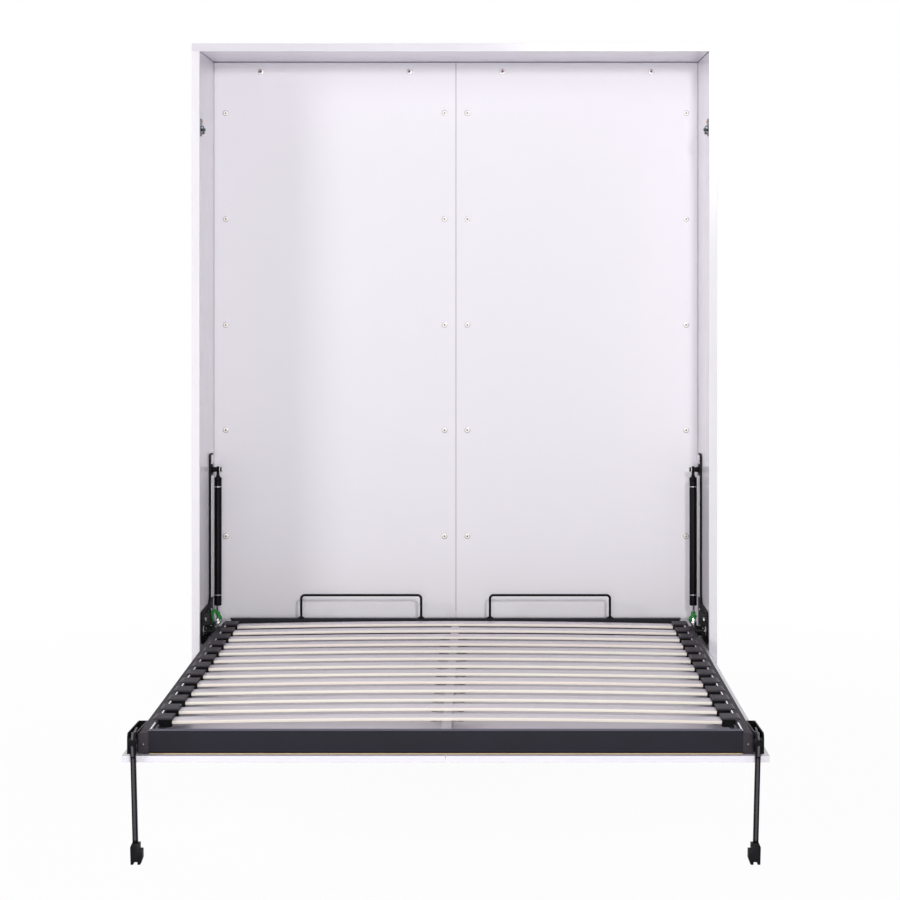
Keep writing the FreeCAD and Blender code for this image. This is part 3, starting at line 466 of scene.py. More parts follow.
def makeRowTree():  # one shape repeated on a straight line
    group, given, out = newGroup("rowOfShapes", "GeometryNodeTree", {
        "Object": "Shape", "Int": "Count", "Vector": "Start", "Float": "Pitch", "Material": "Finish"},
        {"Geometry": "Geometry"})
    rows = addNode(group, "GeometryNodeMeshLine", {
        "Count": given["Count"], "Start Location": given["Start"],
        "Offset": vectorOf(group, Y=given["Pitch"])}).outputs[0]
    shape = addNode(group, "GeometryNodeObjectInfo", {"Object": given["Shape"]}).outputs["Geometry"]
    copies = addNode(group, "GeometryNodeInstanceOnPoints", {"Points": rows, "Instance": shape}).outputs[0]
    finishTree(group, copies, given["Finish"], out)
    return group


rowOfShapes = makeRowTree()


def softened(piece, bevel, segments, angle):  # rounds the arrises sharper than the angle
    soft = piece.modifiers.new("soft", "BEVEL")
    soft.width, soft.segments, soft.limit_method = bevel, segments, "ANGLE"
    soft.angle_limit = math.radians(angle)
    return settled(piece)


def shapeFrom(name, build, bevel=0.0, segments=2):  # runs build(bm), then softens the arrises
    mesh = bpy.data.meshes.new(name)
    bm = bmesh.new()
    build(bm)
    bmesh.ops.remove_doubles(bm, verts=bm.verts, dist=0.00001)
    bmesh.ops.recalc_face_normals(bm, faces=bm.faces)
    bm.to_mesh(mesh)
    bm.free()
    piece = joinScene(name, mesh)
    return softened(piece, bevel, segments, 40) if bevel else piece


def addPrism(bm, outline, axis, start, end):  # an outline in the other two axes, carried from start to end
    def corner(point, along):
        place = list(point)
        place.insert(axis, along)
        return bm.verts.new(place)
    near = [corner(point, start) for point in outline]
    far = [corner(point, end) for point in outline]
    bm.faces.new(near)
    bm.faces.new(far[::-1])
    for i in range(len(outline)):
        j = (i + 1) % len(outline)
        bm.faces.new((near[i], near[j], far[j], far[i]))


def addBlock(bm, low, high):
    (x0, y0, z0), (x1, y1, z1) = low, high
    addPrism(bm, [(x0, y0), (x1, y0), (x1, y1), (x0, y1)], 2, z0, z1)


def gridFaces(bm, rows, closed=False):
    for first, second in zip(rows, rows[1:]):
        last = len(first) if closed else len(first) - 1
        for i in range(last):
            j = (i + 1) % len(first)
            bm.faces.new((first[i], first[j], second[j], second[i]))


def addLoft(bm, rows):  # a tube of faces through closed rows of corners, with both ends capped
    gridFaces(bm, rows, closed=True)
    bm.faces.new(rows[0])
    bm.faces.new(rows[-1][::-1])


def addBar(bm, outline, start, end):  # an outline in X and Z, carried along Y
    addLoft(bm, [[bm.verts.new((x, y, z)) for x, z in outline] for y in (start, end)])


def buildTurned(profile, steps):  # a profile of (radius, height) turned about Z, its ends on the axis closed
    def build(bm):
        turns = [2 * math.pi * i / steps for i in range(steps)]
        rows = [[bm.verts.new((radius * math.cos(turn), radius * math.sin(turn), height))
                 for turn in (turns if radius else turns[:1])] for radius, height in profile]
        for first, second in zip(rows, rows[1:]):
            for i in range(steps):
                j = (i + 1) % steps
                if len(first) == 1:
                    bm.faces.new((first[0], second[j], second[i]))
                elif len(second) == 1:
                    bm.faces.new((first[i], first[j], second[0]))
                else:
                    bm.faces.new((first[i], first[j], second[j], second[i]))
        if len(rows[0]) > 1 and len(rows[-1]) > 1:
            gridFaces(bm, [rows[-1], rows[0]], closed=True)
    return build


def buildBlocks(spans):  # blocks given by two opposite corners each, in any order
    def build(bm):
        for low, high in spans:
            addBlock(bm, tuple(map(min, low, high)), tuple(map(max, low, high)))
    return build


def smoothed(piece, angle=35):  # smooth shading that keeps arrises sharper than the angle
    for polygon in piece.data.polygons:
        polygon.use_smooth = True
    piece.data.set_sharp_from_angle(angle=math.radians(angle))
    return piece


def made(name, build, finish, bevel=0.0, segments=2):
    piece = shapeFrom(name, build, bevel, segments)
    piece.data.materials.clear()
    piece.data.materials.append(finish)
    return piece


def merged(name, pieces):  # joins finished pieces into one mesh, their materials kept
    bm = bmesh.new()
    finishes = []
    for piece in pieces:
        start = len(bm.faces)
        bm.from_mesh(piece.data)
        bm.faces.ensure_lookup_table()
        for face in bm.faces[start:]:
            finish = piece.data.materials[face.material_index]
            if finish not in finishes:
                finishes.append(finish)
            face.material_index = finishes.index(finish)
        bpy.data.objects.remove(piece)
    mesh = bpy.data.meshes.new(name)
    for finish in finishes:
        mesh.materials.append(finish)
    bm.to_mesh(mesh)
    bm.free()
    return joinScene(name, mesh)


def acrossX(piece, x, y, z, side=1):  # a shape turned about Z laid along X, its top towards the bed
    piece.data.transform(Matrix.Translation((x, y, z)) @ Matrix.Rotation(-side * math.pi / 2, 4, "Y"))
    return piece


def spanX(name):  # a node's inner and outer distance from the object's middle
    low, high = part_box(name)
    return sorted((abs(low.x), abs(high.x)))


bothSides = ((1, "right"), (-1, "left"))  # the sign of X, and the side's name as the nodes have it

# slat holders: a ribbed cap over a set-back black body with a collar round the slat; the body's black is the
# plastic's dark and partly painted shade beneath the cap
holderSizes = {
    "count": 13, "pitch": 0.143, "long": 0.082, "skirt": 0.0055, "acrossSteps": 16, "alongSteps": 42,
    "ridges": 6, "ridgeDepth": 0.0007, "ridgeStart": 0.16, "ridgeEnd": 0.9, "ridgeReach": 0.86,
    "ridgeSpread": 1.16, "pillow": 0.0022, "pillowPower": 7, "sidePower": 1.5, "bodyInset": 0.006,
    "bodyDrop": 0.004, "railGap": 0.0004, "collarWide": 0.072, "collarThick": 0.0035, "collarDrop": 0.0035,
    "collarRise": 0.001, "slit": 0.0318, "slitClear": 0.0006, "bevel": 0.0006,
}
# the side rails' rounded inner arris: (out, down) closes its outline inside the tube
arrisSizes = {
    "angles": (-0.2, 0.3, 0.8, 1.3), "proud": 0.0004, "half": 0.0305, "radius": 0.0032,
    "tail": ((0.002, 0.003), (0.0005, 0.002)), "endRadius": 0.0034, "endTail": ((0.002, 0.0034),),
}


def buildCap(side, outer, inner, top):
    size = holderSizes

    def build(bm):
        rows = []
        for row in range(size["alongSteps"] + 1):
            v = 2 * row / size["alongSteps"] - 1
            line = []
            for column in range(size["acrossSteps"] + 1):
                u = column / size["acrossSteps"]
                edge = max(abs(v), abs(2 * u - 1) ** size["sidePower"])
                drop = size["pillow"] * edge ** size["pillowPower"]
                ridged = 0.0
                if size["ridgeStart"] < u < size["ridgeEnd"] and abs(v) < size["ridgeReach"]:
                    wave = math.cos(math.pi * size["ridges"] * (v + 1) * size["ridgeSpread"])
                    ridged = size["ridgeDepth"] * (0.5 - 0.5 * wave)
                x = outer + (inner - outer) * u
                line.append(bm.verts.new((side * x, v * size["long"] / 2, top - drop - ridged)))
            rows.append(line)
        gridFaces(bm, rows)
        rim = rows[0] + [row[-1] for row in rows[1:-1]] + rows[-1][::-1] + [row[0] for row in rows[-2:0:-1]]
        low = [bm.verts.new((corner.co.x, corner.co.y, top - size["skirt"])) for corner in rim]
        gridFaces(bm, [rim, low], closed=True)
        bm.faces.new(low)
    return build


def buildHolderBody(side, railFace, inner, low, top):
    size = holderSizes
    slatLow, slatTop = firstLow.z, firstLow.z + slatSizes["Thick"]

    def build(bm):
        half, thick = size["long"] / 2 - size["bodyInset"], size["collarThick"]
        bodyTop = top - size["bodyDrop"]
        outline = [(-half, low), (half, low), (half, bodyTop), (-half, bodyTop)]
        addPrism(bm, outline, 0, side * (inner + thick * 0.5), side * (railFace - size["railGap"]))
        wide, slit = size["collarWide"] / 2, size["slit"]
        lift, floor = slatTop + size["slitClear"], slatLow - size["slitClear"]
        collarLow, collarTop = low + size["collarRise"], top - size["collarDrop"]
        bars = ((-wide, collarLow, wide, floor), (-wide, lift, wide, collarTop),
                (-wide, floor, -slit, lift), (slit, floor, wide, lift))
        for y0, z0, y1, z1 in bars:
            addPrism(bm, [(y0, z0), (y1, z0), (y1, z1), (y0, z1)], 0, side * inner, side * (inner + thick))
    return build


def buildArris(side, face, top, radius, tail, start, end):
    def build(bm):
        proud = arrisSizes["proud"]
        outline = [(side * (face - proud + radius * (1 - math.sin(a))),
                    top + proud - radius * (1 - math.cos(a))) for a in arrisSizes["angles"]]
        addBar(bm, outline + [(side * (face + out), top - down) for out, down in tail], start, end)
    return build


def repeated(name, shape, count, start, pitch, finish):  # the shape in a row along the bed; its pattern goes
    row = grown(name, rowOfShapes, {
        "Shape": shape, "Count": count, "Start": start, "Pitch": pitch, "Finish": finish})
    bpy.data.objects.remove(shape)
    return row


for side, label in bothSides:
    size = holderSizes
    low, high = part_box(f"slat_holders_{label}")
    inner, outer = spanX(f"slat_holders_{label}")
    railFace, railTop = spanX(f"side_rail_{label}")[0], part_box(f"side_rail_{label}")[1].z
    firstY = low.y + size["long"] / 2
    start = (0.0, firstY, 0.0)
    cap = shapeFrom("cap", buildCap(side, outer, inner, high.z))
    body = shapeFrom("holderBody", buildHolderBody(side, railFace, inner, low.z, high.z), size["bevel"], 1)
    caps = repeated(f"slat_caps_{label}", cap, size["count"], start, size["pitch"], holderGrey)
    # partly painted shade: the bodies under the caps are black, much darker than the caps
    bodies = repeated(f"slat_bodies_{label}", body, size["count"], start, size["pitch"], blackPlastic)
    for polygon in caps.data.polygons:
        polygon.use_smooth = True
    seated(caps, "bed", "grey_plastic", f"slat_holders_{label}")
    seated(bodies, "bed", "grey_plastic", f"slat_holders_{label}")

    # painted highlight between the holders: a near-white strip on the rail's inner arris
    half = arrisSizes["half"]
    strip = shapeFrom("arris", buildArris(
        side, railFace, railTop, arrisSizes["radius"], arrisSizes["tail"], -half, half))
    start = (0.0, firstY + size["pitch"] / 2, 0.0)
    strips = repeated(f"rail_arris_{label}", strip, size["count"] - 1, start, size["pitch"], bareArris)
    seated(strips, "bed", "rail_steel")
print("slat holders and rail arrises are set")


def makeFastenerTree():  # one fastener on every point, turned to face the way the point says
    group, given, out = newGroup("fastenersOnPoints", "GeometryNodeTree", {
        "Geometry": "Geometry", "Object": "Fastener", "Float": "Scale Spin", "Int": "Seed",
        "Material": "Finish"}, {"Geometry": "Geometry"})
    facing = addNode(group, "GeometryNodeInputNamedAttribute", {"Name": "facing"}, data_type="FLOAT_VECTOR")
    turned = addNode(group, "FunctionNodeAlignRotationToVector", {
        "Vector": facing.outputs[0]}, axis="Z").outputs[0]
    spin = addNode(group, "FunctionNodeRandomValue", {
        2: 0.0, 3: given["Spin"], "Seed": given["Seed"]}, data_type="FLOAT").outputs[1]
    about = addNode(group, "FunctionNodeAxisAngleToRotation", {"Axis": (0, 0, 1), "Angle": spin}).outputs[0]
    both = addNode(group, "FunctionNodeRotateRotation", {
        "Rotation": turned, "Rotate By": about}, rotation_space="LOCAL").outputs[0]
    shape = addNode(group, "GeometryNodeObjectInfo", {"Object": given["Fastener"]}).outputs["Geometry"]
    copies = addNode(group, "GeometryNodeInstanceOnPoints", {
        "Points": given["Geometry"], "Instance": shape, "Rotation": both, "Scale": given["Scale"]}).outputs[0]
    finishTree(group, copies, given["Finish"], out)
    return group


fastenersOnPoints = makeFastenerTree()

# screws, washers, nuts and bolts; profiles are (radius, height above the face they sit on)
fastenerSizes = {
    "washer": [(0, -0.0005), (0.0094, -0.0005), (0.0095, 0.0004), (0.0088, 0.0011), (0.0076, 0.0013),
               (0, 0.0012)],
    "cup": [(0, 0.0005), (0.0071, 0.0005), (0.0072, 0.0016), (0.0064, 0.0026), (0.0045, 0.0031),
            (0.0031, 0.0029), (0.0027, 0.0018), (0, 0.0016)],
    "core": [(0, 0.001), (0.0026, 0.001), (0.0026, 0.0020), (0.0020, 0.0024), (0, 0.0025)],
    "panHead": [(0, -0.0005), (0.0042, -0.0005), (0.0045, 0.0006), (0.0043, 0.0016), (0.0034, 0.0026),
                (0.0018, 0.0031), (0, 0.0032)],
    "flatWasher": [(0, -0.0005), (0.0086, -0.0005), (0.0088, 0.0002), (0.0086, 0.0012), (0, 0.0012)],
    "coreCross": (0.0004, 0.0018, 0.0008, 0.0025), "panCross": (0.0006, 0.0027, 0.0013, 0.0032),
    "crossTaper": (0.55, 0.7), "spin": 3.14,
    "steps": {"washer": 28, "cup": 28, "core": 16, "panHead": 20, "flatWasher": 24},
    "hexHead": 0.0075, "hexHigh": 0.0052, "hexEase": 0.0008, "hexTopShare": 0.88, "hexChamfer": 0.0006,
}


def recessed(head, wide, long, depth, top):  # cuts a tapered cross into a head
    taperLong, taperWide = fastenerSizes["crossTaper"]

    def build(bm):
        for turn in (0, math.pi / 2):
            cos, sin = math.cos(turn), math.sin(turn)

            def ring(x, y, z):
                return [bm.verts.new((a * cos - b * sin, a * sin + b * cos, z))
                        for a, b in ((-x, -y), (x, -y), (x, y), (-x, y))]
            high = ring(long, wide, top + depth)
            low = ring(long * taperLong, wide * taperWide, top - depth)
            bm.faces.new(high)
            bm.faces.new(low[::-1])
            gridFaces(bm, [low, high], closed=True)
    bit = shapeFrom("bit", build)
    cutter = head.modifiers.new("recess", "BOOLEAN")
    cutter.operation, cutter.solver, cutter.object = "DIFFERENCE", "EXACT", bit
    cutter.use_self = True
    head = settled(head)
    bpy.data.objects.remove(bit)
    return head


def buildHex(bm):  # a hexagon head with its corners turned off
    size = fastenerSizes
    radius, high, share = size["hexHead"], size["hexHigh"], size["hexTopShare"]
    ring = [(math.cos(math.pi * i / 3), math.sin(math.pi * i / 3)) for i in range(6)]
    near = [bm.verts.new((x * radius, y * radius, 0)) for x, y in ring]
    far = [bm.verts.new((x * radius, y * radius, high - size["hexEase"])) for x, y in ring]
    top = [bm.verts.new((x * radius * share, y * radius * share, high)) for x, y in ring]
    gridFaces(bm, [near, far, top], closed=True)
    bm.faces.new(near[::-1])
    bm.faces.new(top)


def placed(name, fastener, spots, finish, body, slot, scale=1.0, seed=3):  # spots are (place, facing)
    mesh = bpy.data.meshes.new(name)
    mesh.from_pydata([place for place, facing in spots], [], [])
    facings = mesh.attributes.new("facing", "FLOAT_VECTOR", "POINT")
    facings.data.foreach_set("vector", [value for place, facing in spots for value in facing])
    spin = fastenerSizes["spin"]
    values = {"Fastener": fastener, "Scale": scale, "Spin": spin, "Seed": seed, "Finish": finish}
    piece = grown(name, fastenersOnPoints, values, mesh)
    return seated(smoothed(piece), body, slot)


washer, cup, core, panHead, flatWasher = (
    shapeFrom(name, buildTurned(fastenerSizes[name], steps))
    for name, steps in fastenerSizes["steps"].items())
core = recessed(core, *fastenerSizes["coreCross"])
panHead = recessed(panHead, *fastenerSizes["panCross"])
hexHead = shapeFrom("hexHead", buildHex, fastenerSizes["hexChamfer"], 2)

cupWhite = coatFinish("cupWhite", dict(
    railLook, color=paint(255, 252, 245), edgeColor=paint(255, 255, 252), drift=0.03, driftScale=20.0,
    arris=0.0006, grainScale=1500.0, grainDepth=0.00005, gloss=0.35, specular=0.5))
washerGrey = metalFinish("washerGrey", dict(brightLook, color=paint(168, 163, 166), gloss=0.36))
screwBrown = metalFinish("screwBrown", dict(brightLook, color=paint(96, 62, 58), gloss=0.34))
zincScrew = metalFinish("zincScrew", dict(brightLook, color=paint(206, 206, 210), gloss=0.28))

# the back panels' screws, in columns over the battens, and the wall screws in the top row
backSpots = {
    "columns": (-0.766, -0.038, 0.038, 0.766), "rows": (1.986, 1.633, 1.281, 0.931, 0.578, 0.225),
    "wallColumns": (-0.650, -0.155, 0.155, 0.650), "wallRow": 2.124,
}
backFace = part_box("back_panel_right")[0].y
screws = [((x, backFace, z), (0, -1, 0)) for x in backSpots["columns"] for z in backSpots["rows"]]
wallScrews = [((x, backFace, backSpots["wallRow"]), (0, -1, 0)) for x in backSpots["wallColumns"]]
placed("back_washers", washer, screws + wallScrews, washerGrey, "cabinet", "bright_steel")
placed("back_cups", cup, screws, cupWhite, "cabinet", "white_board", seed=5)
placed("back_screws", core, screws, screwBrown, "cabinet", "bright_steel", seed=6)
placed("wall_screws", panHead, wallScrews, screwBrown, "cabinet", "bright_steel", seed=7)

# (y, z) of the fasteners on the mechanism plates, then on the catch plates
plateSpots = {
    "screws": ((0.934, 0.845), (0.934, 0.773), (0.934, 0.700), (0.934, 0.523), (0.934, 0.354)),
    "bolts": ((0.744, 0.347), (0.773, 0.316), (0.773, 0.297), (0.905, 0.300)),
    "catch": ((0.690, 1.9345), (0.690, 1.8985)), "relief": 0.003, "sunk": 0.001,
}


def plateFaceOf(label):  # the plate's flat lies a little behind its pressed rim
    return spanX(f"mechanism_plate_{label}")[0] + plateSpots["relief"]


for side, label in bothSides:
    def facingIn(spots, face):
        return [((side * face, y, z), (-side, 0, 0)) for y, z in spots]

    plateFace = plateFaceOf(label)
    headFace = plateFace - plateSpots["sunk"]
    catchFace = spanX(f"catch_plate_{label}")[1] - plateSpots["relief"]
    allSpots = plateSpots["screws"] + plateSpots["bolts"]
    placed(f"plate_washers_{label}", flatWasher, facingIn(allSpots, plateFace),
           plateGrey, "cabinet", "black_steel")
    placed(f"plate_screws_{label}", panHead, facingIn(plateSpots["screws"], headFace),
           zincScrew, "cabinet", "bright_steel", seed=11)
    placed(f"plate_bolts_{label}", hexHead, facingIn(plateSpots["bolts"], headFace),
           zincScrew, "cabinet", "black_steel", seed=12)
    placed(f"catch_screws_{label}", panHead, facingIn(plateSpots["catch"], catchFace),
           copperScrew, "cabinet", "bright_steel", seed=13)
print("fasteners are set")


# gas springs: painted tube with rolled ends, chrome rod, eyes, stud and nut; profiles are (radius, height)
springSizes = {
    "upper": (0.9655, 0.809), "lower": (0.9615, 0.291), "neck": 0.025, "neckWide": 0.009, "neckDeep": 0.012,
    "neckSpan": (-0.022, -0.007), "neckBevel": 0.001, "steps": 40, "eyeSteps": 28,
    "tubeRadius": 0.0122, "tubeCap": ((0, 0.006), (0.0062, 0.006), (0.0068, 0.004), (0.0070, 0.0005)),
    "tubeShoulder": ((0.0035, 0), (0.0012, -0.0008), (0, -0.003), (0, -0.012), (0.0004, -0.0128),
                     (0, -0.0136)),
    "tubeEnd": ((0, 0.012), (0.0006, 0.0112), (0.0006, 0.0098), (0, 0.009), (0, 0.0022), (0.0010, 0.0006),
                (0.0026, 0)),
    "tubeMouth": ((0.0062, 0), (0.0058, 0.002), (0.0046, 0.002), (0, 0.002)),
    "ringHeights": (0.7515, 0.397), "ringHigh": 0.0022, "ringSunk": 0.001, "ringProud": 0.0001,
    "ringEase": 0.0002, "rodRadius": 0.0046, "rodShown": 0.072, "rodHidden": 0.30,
    "rodFoot": ((0, 0.012), (0.0040, 0.012)), "rodStart": 0.016, "eyeRadius": 0.0105, "eyeWide": 0.009,
    "eyeBore": 0.0048, "eyeEase": 0.0012, "lowEyeRadius": 0.0112, "lowEyeHalf": 0.0082,
    "blockWide": 0.016, "blockDeep": 0.018, "blockLow": 0.003, "blockHigh": 0.021, "blockBevel": 0.0022,
    "ferrule": ((0, -0.001), (0.0068, -0.001), (0.0068, 0.007), (0.0055, 0.009), (0, 0.009)),
    "ferruleSides": 6,
    "pinRadius": 0.0049, "pinEase": 0.0003, "pinStep": 0.0006, "pinTip": 0.0007, "pinTipLong": 0.0012,
    "nutBack": 0.0056, "nutChamfer": 0.0004, "studNutBack": 0.0024,
    "studFlare": ((0, 0), (0.0135, 0), (0.0130, 0.002), (0.0088, 0.006)), "studNeck": 0.0074,
    "studGap": 0.0006, "studRadius": 0.0046, "studTip": 0.0036, "studTipLong": 0.001,
    "washer": ((0, 0.0004), (0.0094, 0.0004), (0.0096, 0.0012), (0.0092, 0.0024), (0, 0.0024)),
}


def leaned(piece, x, y, z):  # from its own upright place to the spring's line
    upper, lower = springSizes["upper"], springSizes["lower"]
    lean = math.atan2(upper[0] - lower[0], upper[1] - lower[1])
    piece.data.transform(Matrix.Translation((x, y, z)) @ Matrix.Rotation(-lean, 4, "X"))
    return piece


def tubeProfile(size, length):
    r, top = size["tubeRadius"], -size["neck"]
    low = top - length
    return ([(radius, top + rise) for radius, rise in size["tubeCap"]]
            + [(r - inset, top + rise) for inset, rise in size["tubeShoulder"]]
            + [(r - inset, low + rise) for inset, rise in size["tubeEnd"]]
            + [(radius, low + rise) for radius, rise in size["tubeMouth"]])


def makeEye(name, radius, half, finish):
    bore, ease, steps = springSizes["eyeBore"], springSizes["eyeEase"], springSizes["eyeSteps"]
    profile = [(bore, -half), (radius - ease, -half), (radius, -half + ease), (radius, half - ease),
               (radius - ease, half), (bore, half)]
    return made(name, buildTurned(profile, steps), finish)


def makeBarrel(side, label, x):
    size = springSizes
    (topY, topZ), (lowY, lowZ) = size["upper"], size["lower"]
    length = math.hypot(topY - lowY, topZ - lowZ) - size["neck"] - size["rodShown"]
    neckBlock = [((-size["neckWide"] / 2, -size["neckDeep"] / 2, size["neckSpan"][0]),
                  (size["neckWide"] / 2, size["neckDeep"] / 2, size["neckSpan"][1]))]
    tube = made("tube", buildTurned(tubeProfile(size, length), size["steps"]), blackCoat)
    eye = makeEye("eye", size["eyeRadius"], size["eyeWide"] / 2, blackCoat)
    neck = made("neck", buildBlocks(neckBlock), blackCoat, size["neckBevel"])
    parts = [leaned(tube, x, topY, topZ), acrossX(eye, x, topY, topZ, side), leaned(neck, x, topY, topZ)]
    for height in size["ringHeights"]:
        r, down, high = size["tubeRadius"] + size["ringProud"], height - topZ, size["ringHigh"]
        band = [(r - size["ringSunk"], down), (r, down + size["ringEase"]),
                (r + size["ringProud"], down + high / 2), (r, down + high),
                (r - size["ringSunk"], down + high)]
        parts.append(leaned(made("ring", buildTurned(band, size["steps"]), zincScrew), x, topY, topZ))
    barrel = merged(f"spring_tube_{label}", parts)
    seated(smoothed(barrel, 30), f"spring_cylinder_{label}", "black_steel", f"gas_cylinder_{label}")


def makeRodEnd(side, label, x):  # rod, fork block, lower eye, pin and nut
    size = springSizes
    lowY, lowZ = size["lower"]
    radius, rodTop, blockTop = size["rodRadius"], size["rodShown"] + size["rodHidden"], size["blockHigh"]
    rodLine = [*size["rodFoot"], (radius, size["rodStart"]), (radius, rodTop), (0, rodTop)]
    blockBox = [((-size["blockWide"] / 2, -size["blockDeep"] / 2, size["blockLow"]),
                 (size["blockWide"] / 2, size["blockDeep"] / 2, blockTop))]
    ferruleLine = [(r, blockTop + rise) for r, rise in size["ferrule"]]
    upright = [
        made("rod", buildTurned(rodLine, 32), rodChrome),
        made("block", buildBlocks(blockBox), brightSteel, size["blockBevel"], 3),
        made("ferrule", buildTurned(ferruleLine, size["ferruleSides"]), brightSteel),
    ]
    lowEye = makeEye("lowEye", size["lowEyeRadius"], size["lowEyeHalf"], zincScrew)
    inner, outer = spanX(f"gas_rod_{label}")
    thick = size["pinRadius"]
    pinLine = [(0, inner), (thick - size["pinEase"], inner), (thick, inner + size["pinStep"]),
               (thick, outer - size["pinTipLong"]), (thick - size["pinTip"], outer), (0, outer)]
    pin = acrossX(made("pin", buildTurned(pinLine, 24), brightSteel), 0, lowY, lowZ, -side)
    nut = made("nut", buildHex, zincScrew, size["nutChamfer"], 1)
    acrossX(nut, side * (outer - size["nutBack"]), lowY, lowZ, -side)
    acrossX(lowEye, x, lowY, lowZ, side)
    parts = [leaned(piece, x, lowY, lowZ) for piece in upright]
    rodEnd = merged(f"spring_rod_end_{label}", parts + [lowEye, pin, nut])
    seated(smoothed(rodEnd, 30), f"spring_rod_{label}", "chrome_rod", f"gas_rod_{label}")


def makeStud(side, label, x):  # a flared arm from the plate, a pale washer, a nut and the bright end
    size = springSizes
    topY, topZ = size["upper"]
    tip, root = spanX(f"spring_stud_{label}")
    far, near = -abs(x) - size["eyeWide"] / 2, -abs(x) + size["eyeWide"] / 2
    radius, gap, tipLong = size["studRadius"], size["studGap"], size["studTipLong"]
    arm = [(r, -root + rise) for r, rise in size["studFlare"]]
    arm += [(size["studNeck"], far - gap), (0, far - gap)]
    end = [(0, far - tipLong), (radius, far - tipLong), (radius, -tip - tipLong), (size["studTip"], -tip),
           (0, -tip)]
    ring = [(r, near + rise) for r, rise in size["washer"]]
    parts = [acrossX(made("part", buildTurned(profile, size["eyeSteps"]), finish), 0, topY, topZ, side)
             for profile, finish in ((arm, blackCoat), (end, brightSteel), (ring, cupWhite))]
    nut = made("nut", buildHex, blackCoat, size["nutChamfer"], 1)
    acrossX(nut, side * (abs(x) - size["eyeWide"] / 2 - size["studNutBack"]), topY, topZ, side)
    stud = merged(f"spring_stud_set_{label}", parts + [nut])
    seated(smoothed(stud, 30), "cabinet", "black_steel", f"spring_stud_{label}")


# pull strap: a webbing band that arches in front of the rod from a loop round it; path points are
# (X, Z, share of the stand-off in front)
strapSizes = {
    "width": 0.0105, "strandWidth": 0.006, "thick": 0.0017, "front": 0.0115, "sunk": 0.0005, "samples": 40,
    "loopRadius": 0.0075, "loopHigh": 0.0115, "loopRise": 0.046, "loopBulge": 0.0003, "hem": 0.0003,
    "waver": 0.0012, "waverPace": 0.35, "tuck": 0.785, "keep": 0.4,
    "pathLeft": ((0.0170, 0.040, 0.7), (0.0165, 0.050, 0.9), (0.0115, 0.0565, 1.0), (0.004, 0.0520, 1.05),
                 (-0.0035, 0.0435, 1.0), (-0.0085, 0.0345, 0.9), (-0.0110, 0.0270, 0.7)),
    "strandLeft": ((0.0165, 0.046, 0.6), (0.0160, 0.034, 0.5), (0.0145, 0.022, 0.45), (0.0140, 0.010, 0.5)),
    "pathRight": ((0.0060, 0.034, 0.7), (0.0052, 0.0385, 0.9), (0.0008, 0.0405, 1.0), (-0.0045, 0.0385, 1.05),
                  (-0.0088, 0.0335, 1.0), (-0.0108, 0.0275, 0.9), (-0.0112, 0.0215, 0.7)),
    "strandRight": ((0.0060, 0.034, 0.6), (0.0058, 0.030, 0.5), (0.0052, 0.026, 0.45), (0.0050, 0.022, 0.5)),
}
strapLook = {
    "color": paint(46, 150, 62), "dark": paint(18, 96, 36), "weave": 1500.0, "sheen": 0.3, "lift": 1.5,
    "grainScale": 700.0, "drift": 0.1, "driftScale": 60.0, "bump": 0.6, "grainDepth": 0.0003,
}


def webbingFinish(name, look):
    material, tree, shader = newMaterial(
        name, Roughness=0.72, Sheen_Weight=look["sheen"], Sheen_Roughness=0.4)
    ribs = addNode(tree, "ShaderNodeTexWave", {
        "Vector": objectPlace(tree), "Scale": look["weave"] / waveTurn, "Distortion": 1.5, "Detail": 1.0,
        "Detail Scale": 3.0}, wave_type="BANDS", bands_direction="DIAGONAL").outputs["Fac"]
    rough = groupNode(tree, surfaceGrain, Scale=look["grainScale"], Stretch=(1, 1, 1), Detail=3.0)["Height"]
    level = worked(tree, "MULTIPLY", ribs, rough)
    color = mixedColor(tree, level, look["dark"], look["color"])
    drift = groupNode(tree, toneDrift, Color=color, Drift=look["drift"], Scale=look["driftScale"])
    tree.links.new(lightened(tree, look["lift"], drift["Color"]), shader.inputs["Base Color"])
    joinBump(tree, shader, level, look["bump"], look["grainDepth"])
    return material


def smoothPath(points, samples):  # Catmull-Rom through the points
    ends = [Vector(point) for point in (points[0], *points, points[-1])]
    path = []
    for i in range(samples + 1):
        at = i / samples * (len(points) - 1)
        k = min(int(at), len(points) - 2)
        t = at - k
        p0, p1, p2, p3 = ends[k:k + 4]
        path.append(0.5 * ((2 * p1) + (p2 - p0) * t + (2 * p0 - 5 * p1 + 4 * p2 - p3) * t * t
                           + (3 * p1 - p0 - 3 * p2 + p3) * t ** 3))
    return path


def buildWebbing(side, points, width):
    size = strapSizes
    hem, thick = size["hem"], size["thick"]
    section = ((-1, 0), (-0.8, -hem), (0.8, -hem), (1, 0), (1, thick), (-1, thick))

    def build(bm):
        path = smoothPath(points, size["samples"])
        half, rows = width / 2, []
        for i, point in enumerate(path):
            after, before = path[min(i + 1, len(path) - 1)], path[max(i - 1, 0)]
            along = Vector((after.x - before.x, after.y - before.y)).normalized()
            y = -size["front"] * point.z - size["sunk"]
            tilt = size["waver"] * math.sin(i * size["waverPace"])
            rows.append([bm.verts.new((
                side * (point.x - along.y * half * share), y + depth + tilt * share,
                point.y + along.x * half * share)) for share, depth in section])
        addLoft(bm, rows)
    return build


